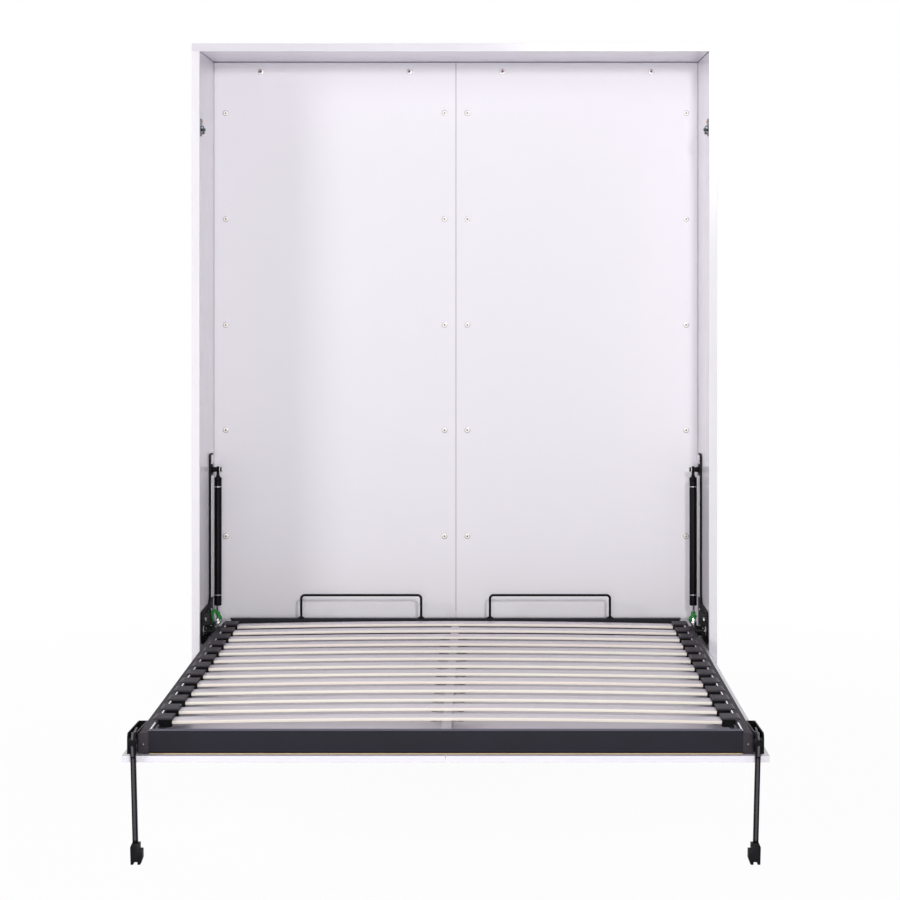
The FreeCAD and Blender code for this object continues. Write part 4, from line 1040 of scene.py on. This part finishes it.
def makeStrap(side, label, x):
    size = strapSizes
    lowY, lowZ = springSizes["lower"]
    radius, thick, half = size["loopRadius"], size["thick"], size["loopHigh"] / 2
    loop = [(radius - thick, -half), (radius, -half), (radius + size["loopBulge"], 0), (radius, half),
            (radius - thick, half)]
    end = label.capitalize()
    band = made("band", buildWebbing(side, size["path" + end], size["width"]), strapGreen)
    strand = made("strand", buildWebbing(side, size["strand" + end], size["strandWidth"]), strapGreen)
    ring = made("ring", buildTurned(loop, 28), strapGreen)
    ring.data.transform(Matrix.Translation((0, 0, size["loopRise"])))
    strap = leaned(merged(f"pull_strap_{label}", [band, strand, ring]), x, lowY, lowZ)
    seated(smoothed(strap, 50), f"spring_rod_{label}", "green_strap", f"spring_strap_{label}")
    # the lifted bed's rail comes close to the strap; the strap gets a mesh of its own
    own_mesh(strap)


strapGreen = webbingFinish("strapGreen", strapLook)
for side, label in bothSides:
    tubeLow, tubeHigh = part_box(f"gas_cylinder_{label}")
    springX = (tubeLow.x + tubeHigh.x) / 2
    makeBarrel(side, label, springX)
    makeRodEnd(side, label, springX)
    makeStud(side, label, springX)
    makeStrap(side, label, springX)
print("gas springs and straps are set")


# mattress hoops: bent round wire welded to small feet on the head rail; the weld is (past the wire, height)
hoopSizes = {
    "wire": 0.004, "wireSides": 5, "rise": 0.004, "bend": 0.0115, "bendSteps": 8, "foot": 0.020,
    "footHigh": 0.003, "footInset": 0.001, "footBevel": 0.0008, "weldLow": 0.0025, "weldHigh": 0.0072,
    "weld": ((0.0038, 0.0025), (0.0026, 0.0038), (0.0008, 0.0060), (-0.001, 0.0072)),
}


def makeHoop(label):
    size = hoopSizes
    low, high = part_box(f"mattress_hoop_{label}")
    footHalf = size["foot"] / 2 + size["footInset"]
    left, right = low.x + footHalf, high.x - footHalf
    top, bottom, y = high.z - size["wire"] + size["rise"], low.z, (low.y + high.y) / 2
    bend = size["bend"]
    route = [(left, bottom)]
    for middle, first in (((left + bend, top - bend), math.pi), ((right - bend, top - bend), math.pi / 2)):
        for i in range(size["bendSteps"] + 1):
            angle = first - i / size["bendSteps"] * math.pi / 2
            route.append((middle[0] + bend * math.cos(angle), middle[1] + bend * math.sin(angle)))
    route.append((right, bottom))
    curve = bpy.data.curves.new("hoop", "CURVE")
    curve.dimensions, curve.use_fill_caps = "3D", True
    curve.bevel_depth, curve.bevel_resolution = size["wire"], size["wireSides"]
    spline = curve.splines.new("POLY")
    spline.points.add(len(route) - 1)
    for point, (x, z) in zip(spline.points, route):
        point.co = (x, y, z, 1)
    wire = settled(joinScene("wire", curve))
    wire.data.materials.clear()
    wire.data.materials.append(blackCoat)
    parts = [wire]
    reach = size["foot"] / 2
    weldSide = [(size["wire"] + past, rise) for past, rise in size["weld"]]
    weldLine = [(0, size["weldLow"]), *weldSide, (0, size["weldHigh"])]
    for x in (left, right):
        foot = made("foot", buildBlocks([((-reach, -reach, 0), (reach, reach, size["footHigh"]))]), blackCoat,
                    size["footBevel"])
        weld = made("weld", buildTurned(weldLine, 20), blackCoat)
        for piece in (foot, weld):
            piece.data.transform(Matrix.Translation((x, y, bottom)))
            parts.append(piece)
    hoop = merged(f"wire_hoop_{label}", parts)
    seated(smoothed(hoop, 50), "bed", "black_steel", f"mattress_hoop_{label}")


makeHoop("right")
makeHoop("left")
print("hoops are set")


def fitted(name, build, finish, body, slot, bevel=0.0, angle=35):  # a small piece made, shaded and seated
    return seated(smoothed(made(name, build, finish, bevel), angle), body, slot)


# small parts of the bed frame: corner brackets and gussets, end plugs, head corner plates, painted highlights
# on the arrises
frameSizes = {
    "bracketLeg": 0.030, "bracketThick": 0.0022, "bracketHigh": 0.030, "bracketDrop": 0.003,
    "bracketProud": 0.0006, "bracketBevel": 0.0006, "screwShare": 0.62, "screwScale": 0.9,
    "gussetSpan": (0.7270, 0.7300), "gussetEnd": -0.955, "gussetHigh": 0.029, "gussetProud": 0.0005,
    "plugProud": 0.0016, "plugInset": 0.0012, "plugSlope": 0.006, "plugBack": 0.002, "plugDeep": 0.004,
    "plugEase": 0.001,
    "plugLip": (0.001, 0.0004, 0.0003), "plugBevel": 0.0008, "plugScrew": (0.752, 0.288),
    "plugScrewScale": 0.5,
    "rearPlate": 0.030, "rearShare": 1.9, "rearThick": 0.0022, "rearReach": 0.17, "rearIn": 0.004,
    "rearTongue": 0.0105, "rearEdge": 0.0012, "rearBack": 0.001, "rearBevel": 0.0009, "rearScrewIn": 0.013,
    "rearScrewScale": 0.8, "arrisFront": (0.002, -0.921), "arrisRear": (0.9215, 0.0005),
}
plugSteel = metalFinish("plugSteel", dict(brightLook, color=paint(150, 146, 142), gloss=0.5))
cornerGrey = coatFinish("cornerGrey", dict(
    railLook, color=paint(190, 187, 193), edgeColor=paint(240, 238, 242), gloss=0.35, specular=0.3))


def makeFootCorner(side, label):
    size = frameSizes
    low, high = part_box(f"side_rail_{label}")
    face, outer = spanX(f"side_rail_{label}")
    corner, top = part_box("foot_rail")[1].y, high.z - size["bracketDrop"]
    bottom, reach, thick = top - size["bracketHigh"], size["bracketLeg"], size["bracketThick"]

    def buildBracket(bm):
        turns = ((0, 0), (reach, 0), (reach, thick), (thick, thick), (thick, reach), (0, reach))
        outline = [(side * (face - inward), corner + back) for inward, back in turns]
        addPrism(bm, outline, 2, bottom, top + size["bracketDrop"] + size["bracketProud"])

    fitted(f"corner_bracket_{label}", buildBracket, zincScrew, "bed", "bright_steel", size["bracketBevel"])
    middle, along = (bottom + top) / 2, reach * size["screwShare"]
    placed(f"corner_screws_{label}", panHead,
           [((side * (face - thick), corner + along, middle), (-side, 0, 0)),
            ((side * (face - along), corner + thick, middle), (0, 1, 0))],
           zincScrew, "bed", "bright_steel", scale=size["screwScale"], seed=21)

    inner, outside = size["gussetSpan"]
    gusset = [((side * inner, corner - size["gussetProud"], high.z - size["gussetHigh"]),
               (side * outside, size["gussetEnd"], high.z + size["gussetProud"]))]
    fitted(f"corner_gusset_{label}", buildBlocks(gusset), blackCoat, "bed", "black_steel",
           size["bracketBevel"])

    def buildPlug(bm):  # closes the tube's foot end, its top edge sloped back
        inset, front, (lipBack, lipDrop, lipRise) = size["plugInset"], low.y, size["plugLip"]
        nose = front - size["plugProud"]
        outline = [(front + size["plugBack"], low.z + inset), (nose, low.z + inset + size["plugEase"]),
                   (nose, high.z - size["plugSlope"]), (front + lipBack, high.z - lipDrop),
                   (front + size["plugDeep"], high.z + lipRise), (front + size["plugDeep"], low.z + inset)]
        addPrism(bm, outline, 0, side * (face + inset), side * (outer - inset))

    fitted(f"rail_plug_{label}", buildPlug, railGrey, "bed", "rail_steel", size["plugBevel"])
    x, z = size["plugScrew"]
    placed(f"plug_screw_{label}", panHead, [((side * x, low.y - size["plugProud"], z), (0, -1, 0))],
           plugSteel, "bed", "bright_steel", scale=size["plugScrewScale"], seed=22)


def makeHeadCorner(side, label):  # a plate over the joint of side rail and head rail
    size = frameSizes
    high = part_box(f"side_rail_{label}")[1]
    face, outer = spanX(f"side_rail_{label}")
    rear, plateTop = size["rearPlate"], high.z + size["rearThick"]
    wideEnd = high.y - rear * size["rearShare"]

    def buildRear(bm):  # wide at the corner, then a narrow tongue outside the last holder
        inner, tongue = side * (face - size["rearIn"]), side * (outer - size["rearTongue"])
        edge, back = side * (outer - size["rearEdge"]), high.y - size["rearBack"]
        reach = high.y - size["rearReach"]
        outline = [(inner, wideEnd), (tongue, wideEnd), (tongue, reach), (edge, reach), (edge, back),
                   (inner, back)]
        addPrism(bm, outline, 2, high.z, plateTop)

    fitted(f"head_corner_{label}", buildRear, cornerGrey, "bed", "rail_steel", size["rearBevel"])
    placed(f"head_screw_{label}", panHead,
           [((side * (face + size["rearScrewIn"]), high.y - rear / 2, plateTop), (0, 0, 1))],
           zincScrew, "bed", "bright_steel", scale=size["rearScrewScale"], seed=23)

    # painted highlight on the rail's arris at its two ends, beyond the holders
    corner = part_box("foot_rail")[1].y
    spans = (("front", corner + size["arrisFront"][0], size["arrisFront"][1]),
             ("rear", size["arrisRear"][0], wideEnd - size["arrisRear"][1]))
    for name, start, end in spans:
        build = buildArris(side, face, high.z, arrisSizes["endRadius"], arrisSizes["endTail"], start, end)
        seated(made(f"{name}_arris_{label}", build, bareArris), "bed", "rail_steel")


for side, label in bothSides:
    makeFootCorner(side, label)
    makeHeadCorner(side, label)

# paler top of the foot rail, where the coat catches the light
stripSizes = {"inset": 0.001, "high": 0.0005, "bevel": 0.0002}
stripGrey = coatFinish("stripGrey", dict(
    railLook, color=paint(104, 101, 118), edgeColor=paint(126, 123, 140)))
low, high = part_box("foot_rail")
stripBox = [((low.x + stripSizes["inset"], low.y + stripSizes["inset"], high.z),
             (high.x - stripSizes["inset"], high.y - stripSizes["inset"], high.z + stripSizes["high"]))]
seated(made("foot_rail_strip", buildBlocks(stripBox), stripGrey, stripSizes["bevel"]), "bed", "rail_steel")

# clips on the middle beam: a soft saddle under each slat
clipSizes = {
    "inner": 0.028, "outer": 0.043, "long": 0.024, "high": 0.0028, "flare": (0.004, 0.003), "gap": 0.0003,
    "strap": 0.0012, "strapReach": 0.001, "strapInset": 0.004, "bevel": 0.0008, "setBack": 0.010,
}


def buildClip(bm):
    size = clipSizes
    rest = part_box("slat_01")[0].z + slatSizes["Crown"]
    low, top, half = rest - size["high"], rest - size["gap"], size["long"] / 2
    flareIn, flareOut = size["flare"]
    for side in (1, -1):
        outline = [(side * size["inner"], low), (side * size["outer"], low),
                   (side * (size["outer"] - flareOut), top), (side * (size["inner"] - flareIn), top)]
        addBar(bm, outline, -half, half)
    reach, deep = size["inner"] + size["strapReach"], half - size["strapInset"]
    addBlock(bm, (-reach, -deep, low), (reach, deep, low + size["strap"]))


clip = shapeFrom("clip", buildClip, clipSizes["bevel"], 1)
clips = repeated("middle_clips", clip, slatSizes["Count"], (0.0, slatStart[1] - clipSizes["setBack"], 0.0),
                 slatSizes["Pitch"], blackPlastic)
seated(clips, "bed", "grey_plastic")

# leg levers: a slim bar down each leg's head, and the stay that runs back from it inside the bracket, both a
# lighter grey than the black coat as a painted highlight
leverSizes = {
    "wide": 0.0052, "thick": 0.0016, "gap": 0.0001, "bevel": 0.0005,
    "line": ((0, -0.034), (0.001, -0.008), (0.001, 0.006), (0, 0.0265)),  # (out, above the leg's pivot)
    "stayWide": 0.0046, "stayHigh": 0.0022, "stayBevel": 0.0004,
    "stay": ((0.001, -1.0985, 0.0015), (0.006, -0.990, 0.0046)),  # (out, Y, below the bracket's top)
}
# legs and feet: the frame's own shapes, leaned a little inward, with a rib down the leg, its lighter grey a
# painted highlight
legSizes = {
    "pivotDrop": 0.027, "lean": 0.0255, "bevel": 0.0009, "ribTop": 0.262, "ribLow": 0.058, "ribEase": 0.004,
    "ribWide": 0.0062, "ribTaper": 0.0015, "ribProud": 0.0008, "ribGap": 0.0001, "ribSunk": 0.001,
    "bracketFall": 0.0065, "bracketBevel": 0.0005, "weld": 0.00001, "flat": 0.02,
}
# painted highlight: a lighter grey than the black coat, for the light catching levers, stays and plate ribs
leverGrey = coatFinish("leverGrey", dict(
    railLook, color=paint(82, 80, 88), edgeColor=paint(150, 148, 156), specular=0.3))
# painted highlight: the leg's rib is a lighter grey than the leg's black coat
ribGrey = coatFinish("ribGrey", dict(railLook, color=paint(70, 66, 72), edgeColor=paint(110, 106, 112)))


def makeLever(side, label):
    size = leverSizes
    low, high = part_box(f"leg_{label}")
    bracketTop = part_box(f"leg_bracket_{label}")[1].z
    x, z = sum(spanX(f"leg_{label}")) / 2, high.z - legSizes["pivotDrop"]
    front, back = low.y - size["thick"], low.y - size["gap"]

    def sides(out, wide):
        return side * (x + out - wide / 2), side * (x + out + wide / 2)

    def buildLever(bm):
        rows = []
        for out, rise in size["line"]:
            left, right = sides(out, size["wide"])
            spots = ((left, front), (right, front), (right, back), (left, back))
            rows.append([bm.verts.new((across, along, z + rise)) for across, along in spots])
        addLoft(bm, rows)

    def buildStay(bm):
        rows = []
        for out, along, drop in size["stay"]:
            left, right = sides(out, size["stayWide"])
            top, bottom = bracketTop - drop, bracketTop - drop - size["stayHigh"]
            spots = ((left, bottom), (right, bottom), (right, top), (left, top))
            rows.append([bm.verts.new((across, along, up)) for across, up in spots])
        addLoft(bm, rows)

    fitted(f"leg_lever_{label}", buildLever, leverGrey, f"leg_assembly_{label}", "black_steel", size["bevel"],
           angle=25)
    fitted(f"leg_stay_{label}", buildStay, leverGrey, "bed", "black_steel", size["stayBevel"], angle=25)


def reshaped(name, ending, finish, move, bevel, segments):  # a softened copy of a node, its corners moved
    bm = bmesh.new()
    bm.from_mesh(nodes[name].data)
    bmesh.ops.remove_doubles(bm, verts=bm.verts, dist=legSizes["weld"])
    bmesh.ops.dissolve_limit(bm, angle_limit=legSizes["flat"], verts=bm.verts, edges=bm.edges)
    for vert in bm.verts:
        move(vert.co)
    mesh = bpy.data.meshes.new(name + ending)
    bm.to_mesh(mesh)
    bm.free()
    mesh.materials.append(finish)
    return smoothed(softened(joinScene(name + ending, mesh), bevel, segments, 35))


def makeLeg(side, label):
    size = legSizes
    low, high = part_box(f"leg_{label}")
    middle, pivot, front = sum(spanX(f"leg_{label}")) / 2, high.z - size["pivotDrop"], low.y

    def lean(place):
        place.x -= side * size["lean"] * max(pivot - place.z, 0)

    def buildRib(bm):
        rows = []
        ribTop, ribLow, ease, proud = size["ribTop"], size["ribLow"], size["ribEase"], size["ribProud"]
        near, far = front - size["ribGap"], front + size["ribSunk"]
        for z in (ribTop, ribTop - ease, ribLow + ease, ribLow):
            x = middle - size["lean"] * (pivot - z)
            wide = size["ribWide"] / 2 - (0 if ribLow < z < ribTop else size["ribTaper"])
            section = ((-wide, near), (-wide + proud, front - proud), (wide - proud, front - proud),
                       (wide, near), (wide, far), (-wide, far))
            rows.append([bm.verts.new((side * (x + across), y, z)) for across, y in section])
        addLoft(bm, rows)

    body = f"leg_assembly_{label}"
    leg = reshaped(f"leg_{label}", "_leaned", blackCoat, lean, size["bevel"], 2)
    seated(leg, body, "black_steel", f"leg_{label}")
    foot = reshaped(f"foot_{label}", "_leaned", blackPlastic, lean, size["bevel"], 2)
    seated(foot, body, "black_plastic", f"foot_{label}")
    fitted(f"leg_rib_{label}", buildRib, ribGrey, body, "black_steel", angle=25)


def makeBracket(label):  # the folded bracket, its top edge falling a little towards the head end
    name = f"leg_bracket_{label}"
    low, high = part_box(name)

    def fall(place):
        shareY, shareZ = (place.y - low.y) / (high.y - low.y), (place.z - low.z) / (high.z - low.z)
        place.z -= legSizes["bracketFall"] * (shareY * shareZ)

    bracket = reshaped(name, "_fallen", blackCoat, fall, legSizes["bracketBevel"], 1)
    seated(bracket, "bed", "black_steel", name)


for side, label in bothSides:
    makeLever(side, label)
for side, label in bothSides:
    makeLeg(side, label)
    makeBracket(label)
print("frame parts, legs and feet are set")


# cabinet trim: painted highlights on the edge bands' arrises, painted shadow lines in the corners, cover
# strips behind the springs
trimSizes = {
    "bandProud": 0.0005, "sunk": 0.001, "arris": 0.0014, "arrisBevel": 0.0005, "line": 0.0014,
    "lineLow": 0.33, "topLine": 0.0022, "sideLine": 0.0012, "sideInset": 0.002, "seam": 0.0008,
    "seamProud": 0.0003, "seamInset": 0.002, "coverFront": 0.948, "coverBack": 1.0085,
    "coverParts": ((0.392, 0.790), (0.828, 0.857)), "coverThick": 0.0036, "coverSunk": 0.0002,
    "coverBevel": 0.0012,
    "feltInset": 0.002, "feltFront": 0.0004, "feltDeep": 0.012, "feltHigh": 0.0011, "feltBevel": 0.0003,
}


def plainBoard(name, red, green, blue, gloss):  # one tone, for a line or a seam
    shade = paint(red, green, blue)
    return coatFinish(name, dict(boardLook, color=shade, edgeColor=shade, gloss=gloss))


# painted highlight: a near-white strip on the boards' front arrises
arrisWhite = coatFinish("arrisWhite", dict(
    boardLook, color=paint(254, 254, 255), edgeColor=paint(255, 255, 255)))
cornerShade = plainBoard("cornerShade", 172, 164, 174, 0.6)
seamShade = plainBoard("seamShade", 128, 120, 126, 0.7)
topShade = plainBoard("topShade", 92, 88, 112, 0.7)
feltTan = coatFinish("feltTan", dict(
    boardLook, color=paint(244, 212, 156), edgeColor=paint(248, 222, 172), drift=0.08, driftScale=60.0,
    gloss=0.9))


def makeTrim():
    size = trimSizes
    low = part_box("side_panel_right")[0]
    under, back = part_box("top_board")[0].z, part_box("back_panel_right")[0].y
    face, line, arris = abs(low.x), size["line"], size["arris"]
    front, proud, sunk = low.y, low.y - size["bandProud"], low.y + size["sunk"]
    bands = [((s * face, proud, low.z), (s * (face + arris), sunk, under + arris)) for s in (1, -1)]
    bands.append(((-face, proud, under), (face, sunk, under + arris)))
    fitted("band_arris", buildBlocks(bands), arrisWhite, "cabinet", "white_board", size["arrisBevel"])

    corners = [((s * face, back - line, size["lineLow"]), (s * (face - line), back, under)) for s in (1, -1)]
    topLine, sideLine = size["topLine"], size["sideLine"]
    darker = [((-face, back - topLine, under - topLine), (face, back, under))]
    darker += [((s * face, front + size["sideInset"], under - sideLine), (s * (face - sideLine), back, under))
               for s in (1, -1)]
    half = size["seam"]
    seam = [((-half, back - size["seamProud"], size["lineLow"]),
             (half, back + size["sunk"], under - size["seamInset"]))]
    lines = (("back_seam", seam, seamShade), ("corner_lines", corners, cornerShade),
             ("top_lines", darker, topShade))
    for name, spans, finish in lines:
        seated(made(name, buildBlocks(spans), finish), "cabinet", "white_board")

    for side, label in bothSides:
        plateFace = plateFaceOf(label)
        outer, inner = side * (plateFace + size["coverSunk"]), side * (plateFace - size["coverThick"])
        spans = [((outer, size["coverFront"], start), (inner, size["coverBack"], end))
                 for start, end in size["coverParts"]]
        fitted(f"plate_cover_{label}", buildBlocks(spans), boardWhite, "cabinet", "white_board",
               size["coverBevel"])

    # tan felt strip between the foot rail and the door
    railLow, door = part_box("foot_rail")[0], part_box("door_panel_left")[1].z
    reach = abs(railLow.x) - size["feltInset"]
    felt = [((-reach, railLow.y + size["feltFront"], door),
             (reach, railLow.y + size["feltDeep"], door + size["feltHigh"]))]
    seated(made("felt_strip", buildBlocks(felt), feltTan, size["feltBevel"]), "bed", "white_board")


makeTrim()
print("cabinet trim is set")


# ring pull and black tip of each catch, ribs on the plates' arms with a painted highlight, grub screws in the
# hub bosses
latchSizes = {
    "ring": (0.7995, 0.6707, 1.9158), "ringRadius": 0.0048, "ringThick": 0.0019, "ringFlat": 0.42,
    "ringSteps": 20, "ringSides": 8, "tip": (0.8012, 0.6707, 1.9082),
    "tipLine": ((0, -0.0008), (0.0036, -0.0007), (0.0036, 0.0005), (0, 0.0008)),
    "ribs": (((0.699, 0.3685), (0.867, 0.3454)), ((0.699, 0.3599), (0.867, 0.3368))),
    "ribHigh": 0.0022, "ribProud": 0.0016, "ribSunk": 0.0002, "ribBevel": 0.0005,
    "grubs": ((0.7905, 0.708, 0.3237), (0.7905, 0.7065, 0.3080), (0.7945, 0.7052, 0.3145)), "grubScale": 0.42,
}


def makeLatch(side, label):
    size = latchSizes
    ringX, ringY, ringZ = size["ring"]

    def turns(steps):
        angles = [i * 2 * math.pi / steps for i in range(steps)]
        return [(math.cos(angle), math.sin(angle)) for angle in angles]

    thick = size["ringThick"]
    wire = [(size["ringRadius"] + thick * cos, size["ringFlat"] * thick * sin)
            for cos, sin in turns(size["ringSides"])]

    def buildRing(bm):
        rows = [[bm.verts.new((side * ringX + far * cos, ringY + off, ringZ + far * sin))
                 for far, off in wire] for cos, sin in turns(size["ringSteps"])]
        gridFaces(bm, rows + [rows[0]], closed=True)

    ring = made("ring", buildRing, catchSteel)
    tip = made("tip", buildTurned(size["tipLine"], 16), blackCoat)
    tipX, tipY, tipZ = size["tip"]
    tip.data.transform(Matrix.Translation((side * tipX, tipY, tipZ)) @ Matrix.Rotation(math.pi / 2, 4, "X"))
    seated(smoothed(merged(f"latch_pull_{label}", [ring, tip]), 40), "cabinet", "bright_steel")
    plateFace = plateFaceOf(label)

    def buildRibs(bm):
        half = size["ribHigh"] / 2
        for (y0, z0), (y1, z1) in size["ribs"]:
            addPrism(bm, [(y0, z0 - half), (y1, z1 - half), (y1, z1 + half), (y0, z0 + half)], 0,
                     side * (plateFace + size["ribSunk"]), side * (plateFace - size["ribProud"]))

    fitted(f"plate_ribs_{label}", buildRibs, leverGrey, "cabinet", "black_steel", size["ribBevel"])
    placed(f"hub_grubs_{label}", panHead, [((side * x, y, z), (0, -1, 0)) for x, y, z in size["grubs"]],
           zincScrew, "bed", "bright_steel", scale=size["grubScale"], seed=31)


for side, label in bothSides:
    makeLatch(side, label)
for shape in (washer, cup, core, panHead, flatWasher, hexHead):  # the copies stay, their patterns go
    bpy.data.objects.remove(shape)
print("catch pulls, plate ribs and grub screws are set")

# floor, light and camera
studio = {
    "floorColor": paint(240, 240, 242), "floorReach": 40.0, "fadeNear": 1.6, "fadeFar": 4.2, "fadeLow": 0.96,
    "cameraPlace": (0.100, -7.4045, 1.477), "lens": 101.96, "shiftX": -0.040, "shiftY": -0.2044,
    "worldColor": (0.93, 0.93, 0.97), "worldStrength": 0.265,
}
# each lamp's place, the point that it looks at, its size and its power
lamps = {
    "keyLight": ((1.15, -7.2, 2.72), (0, 0.5, 1.0), 0.45, 172.0),
    "leftLight": ((-4.4, -3.8, 2.8), (0, 0.5, 1.1), 1.4, 92.0),
    "lowLight": ((-0.3, -7.0, 0.95), (0, 1.0, 0.6), 1.2, 92.0),
    "rearLeft": ((-4.6, 4.2, 2.4), (0, 0.9, 1.1), 2.2, 110.0),
    "rearRight": ((4.6, 4.2, 2.4), (0, 0.9, 1.1), 2.2, 110.0),
}


def backgroundRays(tree):  # 1 where the picture, a gloss or clear material looks at the background
    path = addNode(tree, "ShaderNodeLightPath").outputs
    first = worked(tree, "MAXIMUM", path["Is Camera Ray"], path["Is Glossy Ray"])
    return worked(tree, "MAXIMUM", first, path["Is Transmission Ray"])


def makeFloor():
    mesh = bpy.data.meshes.new("floor")
    reach = studio["floorReach"]
    corners = [(-reach, -reach, 0), (reach, -reach, 0), (reach, reach, 0), (-reach, reach, 0)]
    mesh.from_pydata(corners, [], [(0, 1, 2, 3)])
    material, tree, shader = newMaterial(
        "paleFloor", Base_Color=studio["floorColor"], Roughness=0.8, Specular_IOR_Level=0.2)
    away = addNode(tree, "ShaderNodeVectorMath", {0: objectPlace(tree)}, operation="LENGTH").outputs["Value"]
    fade = addNode(tree, "ShaderNodeMapRange", {
        "Value": away, "From Min": studio["fadeNear"], "From Max": studio["fadeFar"],
        "To Min": studio["fadeLow"], "To Max": 1.0}, interpolation_type="SMOOTHSTEP").outputs[0]
    share = worked(tree, "MULTIPLY", fade, backgroundRays(tree))
    white = addNode(tree, "ShaderNodeEmission", {"Color": (1, 1, 1, 1), "Strength": 1.0}).outputs[0]
    both = addNode(tree, "ShaderNodeMixShader", {0: share, 1: shader.outputs[0], 2: white}).outputs[0]
    tree.links.new(both, tree.nodes["Material Output"].inputs["Surface"])
    mesh.materials.append(material)
    joinScene("floor", mesh)


def makeWorld():
    world = bpy.data.worlds.new("studio")
    world.use_nodes = True
    tree = world.node_tree
    soft = tree.nodes["Background"]
    soft.inputs["Color"].default_value = (*studio["worldColor"], 1)
    soft.inputs["Strength"].default_value = studio["worldStrength"]
    white = addNode(tree, "ShaderNodeBackground", {"Color": (1, 1, 1, 1), "Strength": 1.0}).outputs[0]
    both = addNode(tree, "ShaderNodeMixShader", {0: backgroundRays(tree), 1: soft.outputs[0], 2: white})
    tree.links.new(both.outputs[0], tree.nodes["World Output"].inputs["Surface"])
    bpy.context.scene.world = world


def makeLight(name, place, aim, size, power):
    light = bpy.data.lights.new(name, "AREA")
    light.shape, light.size, light.energy = "SQUARE", size, power
    lamp = joinScene(name, light)
    lamp.location = place
    lamp.rotation_euler = (Vector(aim) - Vector(place)).to_track_quat("-Z", "Y").to_euler()


def makeCamera():
    lens = bpy.data.cameras.new("camera")
    lens.lens, lens.sensor_width, lens.sensor_fit = studio["lens"], 36.0, "HORIZONTAL"
    lens.shift_x, lens.shift_y = studio["shiftX"], studio["shiftY"]
    lens.clip_end = 200.0
    camera = joinScene("camera", lens)
    camera.location = studio["cameraPlace"]
    camera.rotation_euler = (math.pi / 2, 0, 0)
    bpy.context.scene.camera = camera


makeFloor()
makeWorld()
for name, (place, aim, size, power) in lamps.items():
    makeLight(name, place, aim, size, power)
makeCamera()
bpy.context.scene.view_settings.view_transform = "Standard"
print("stage, light and camera are set")
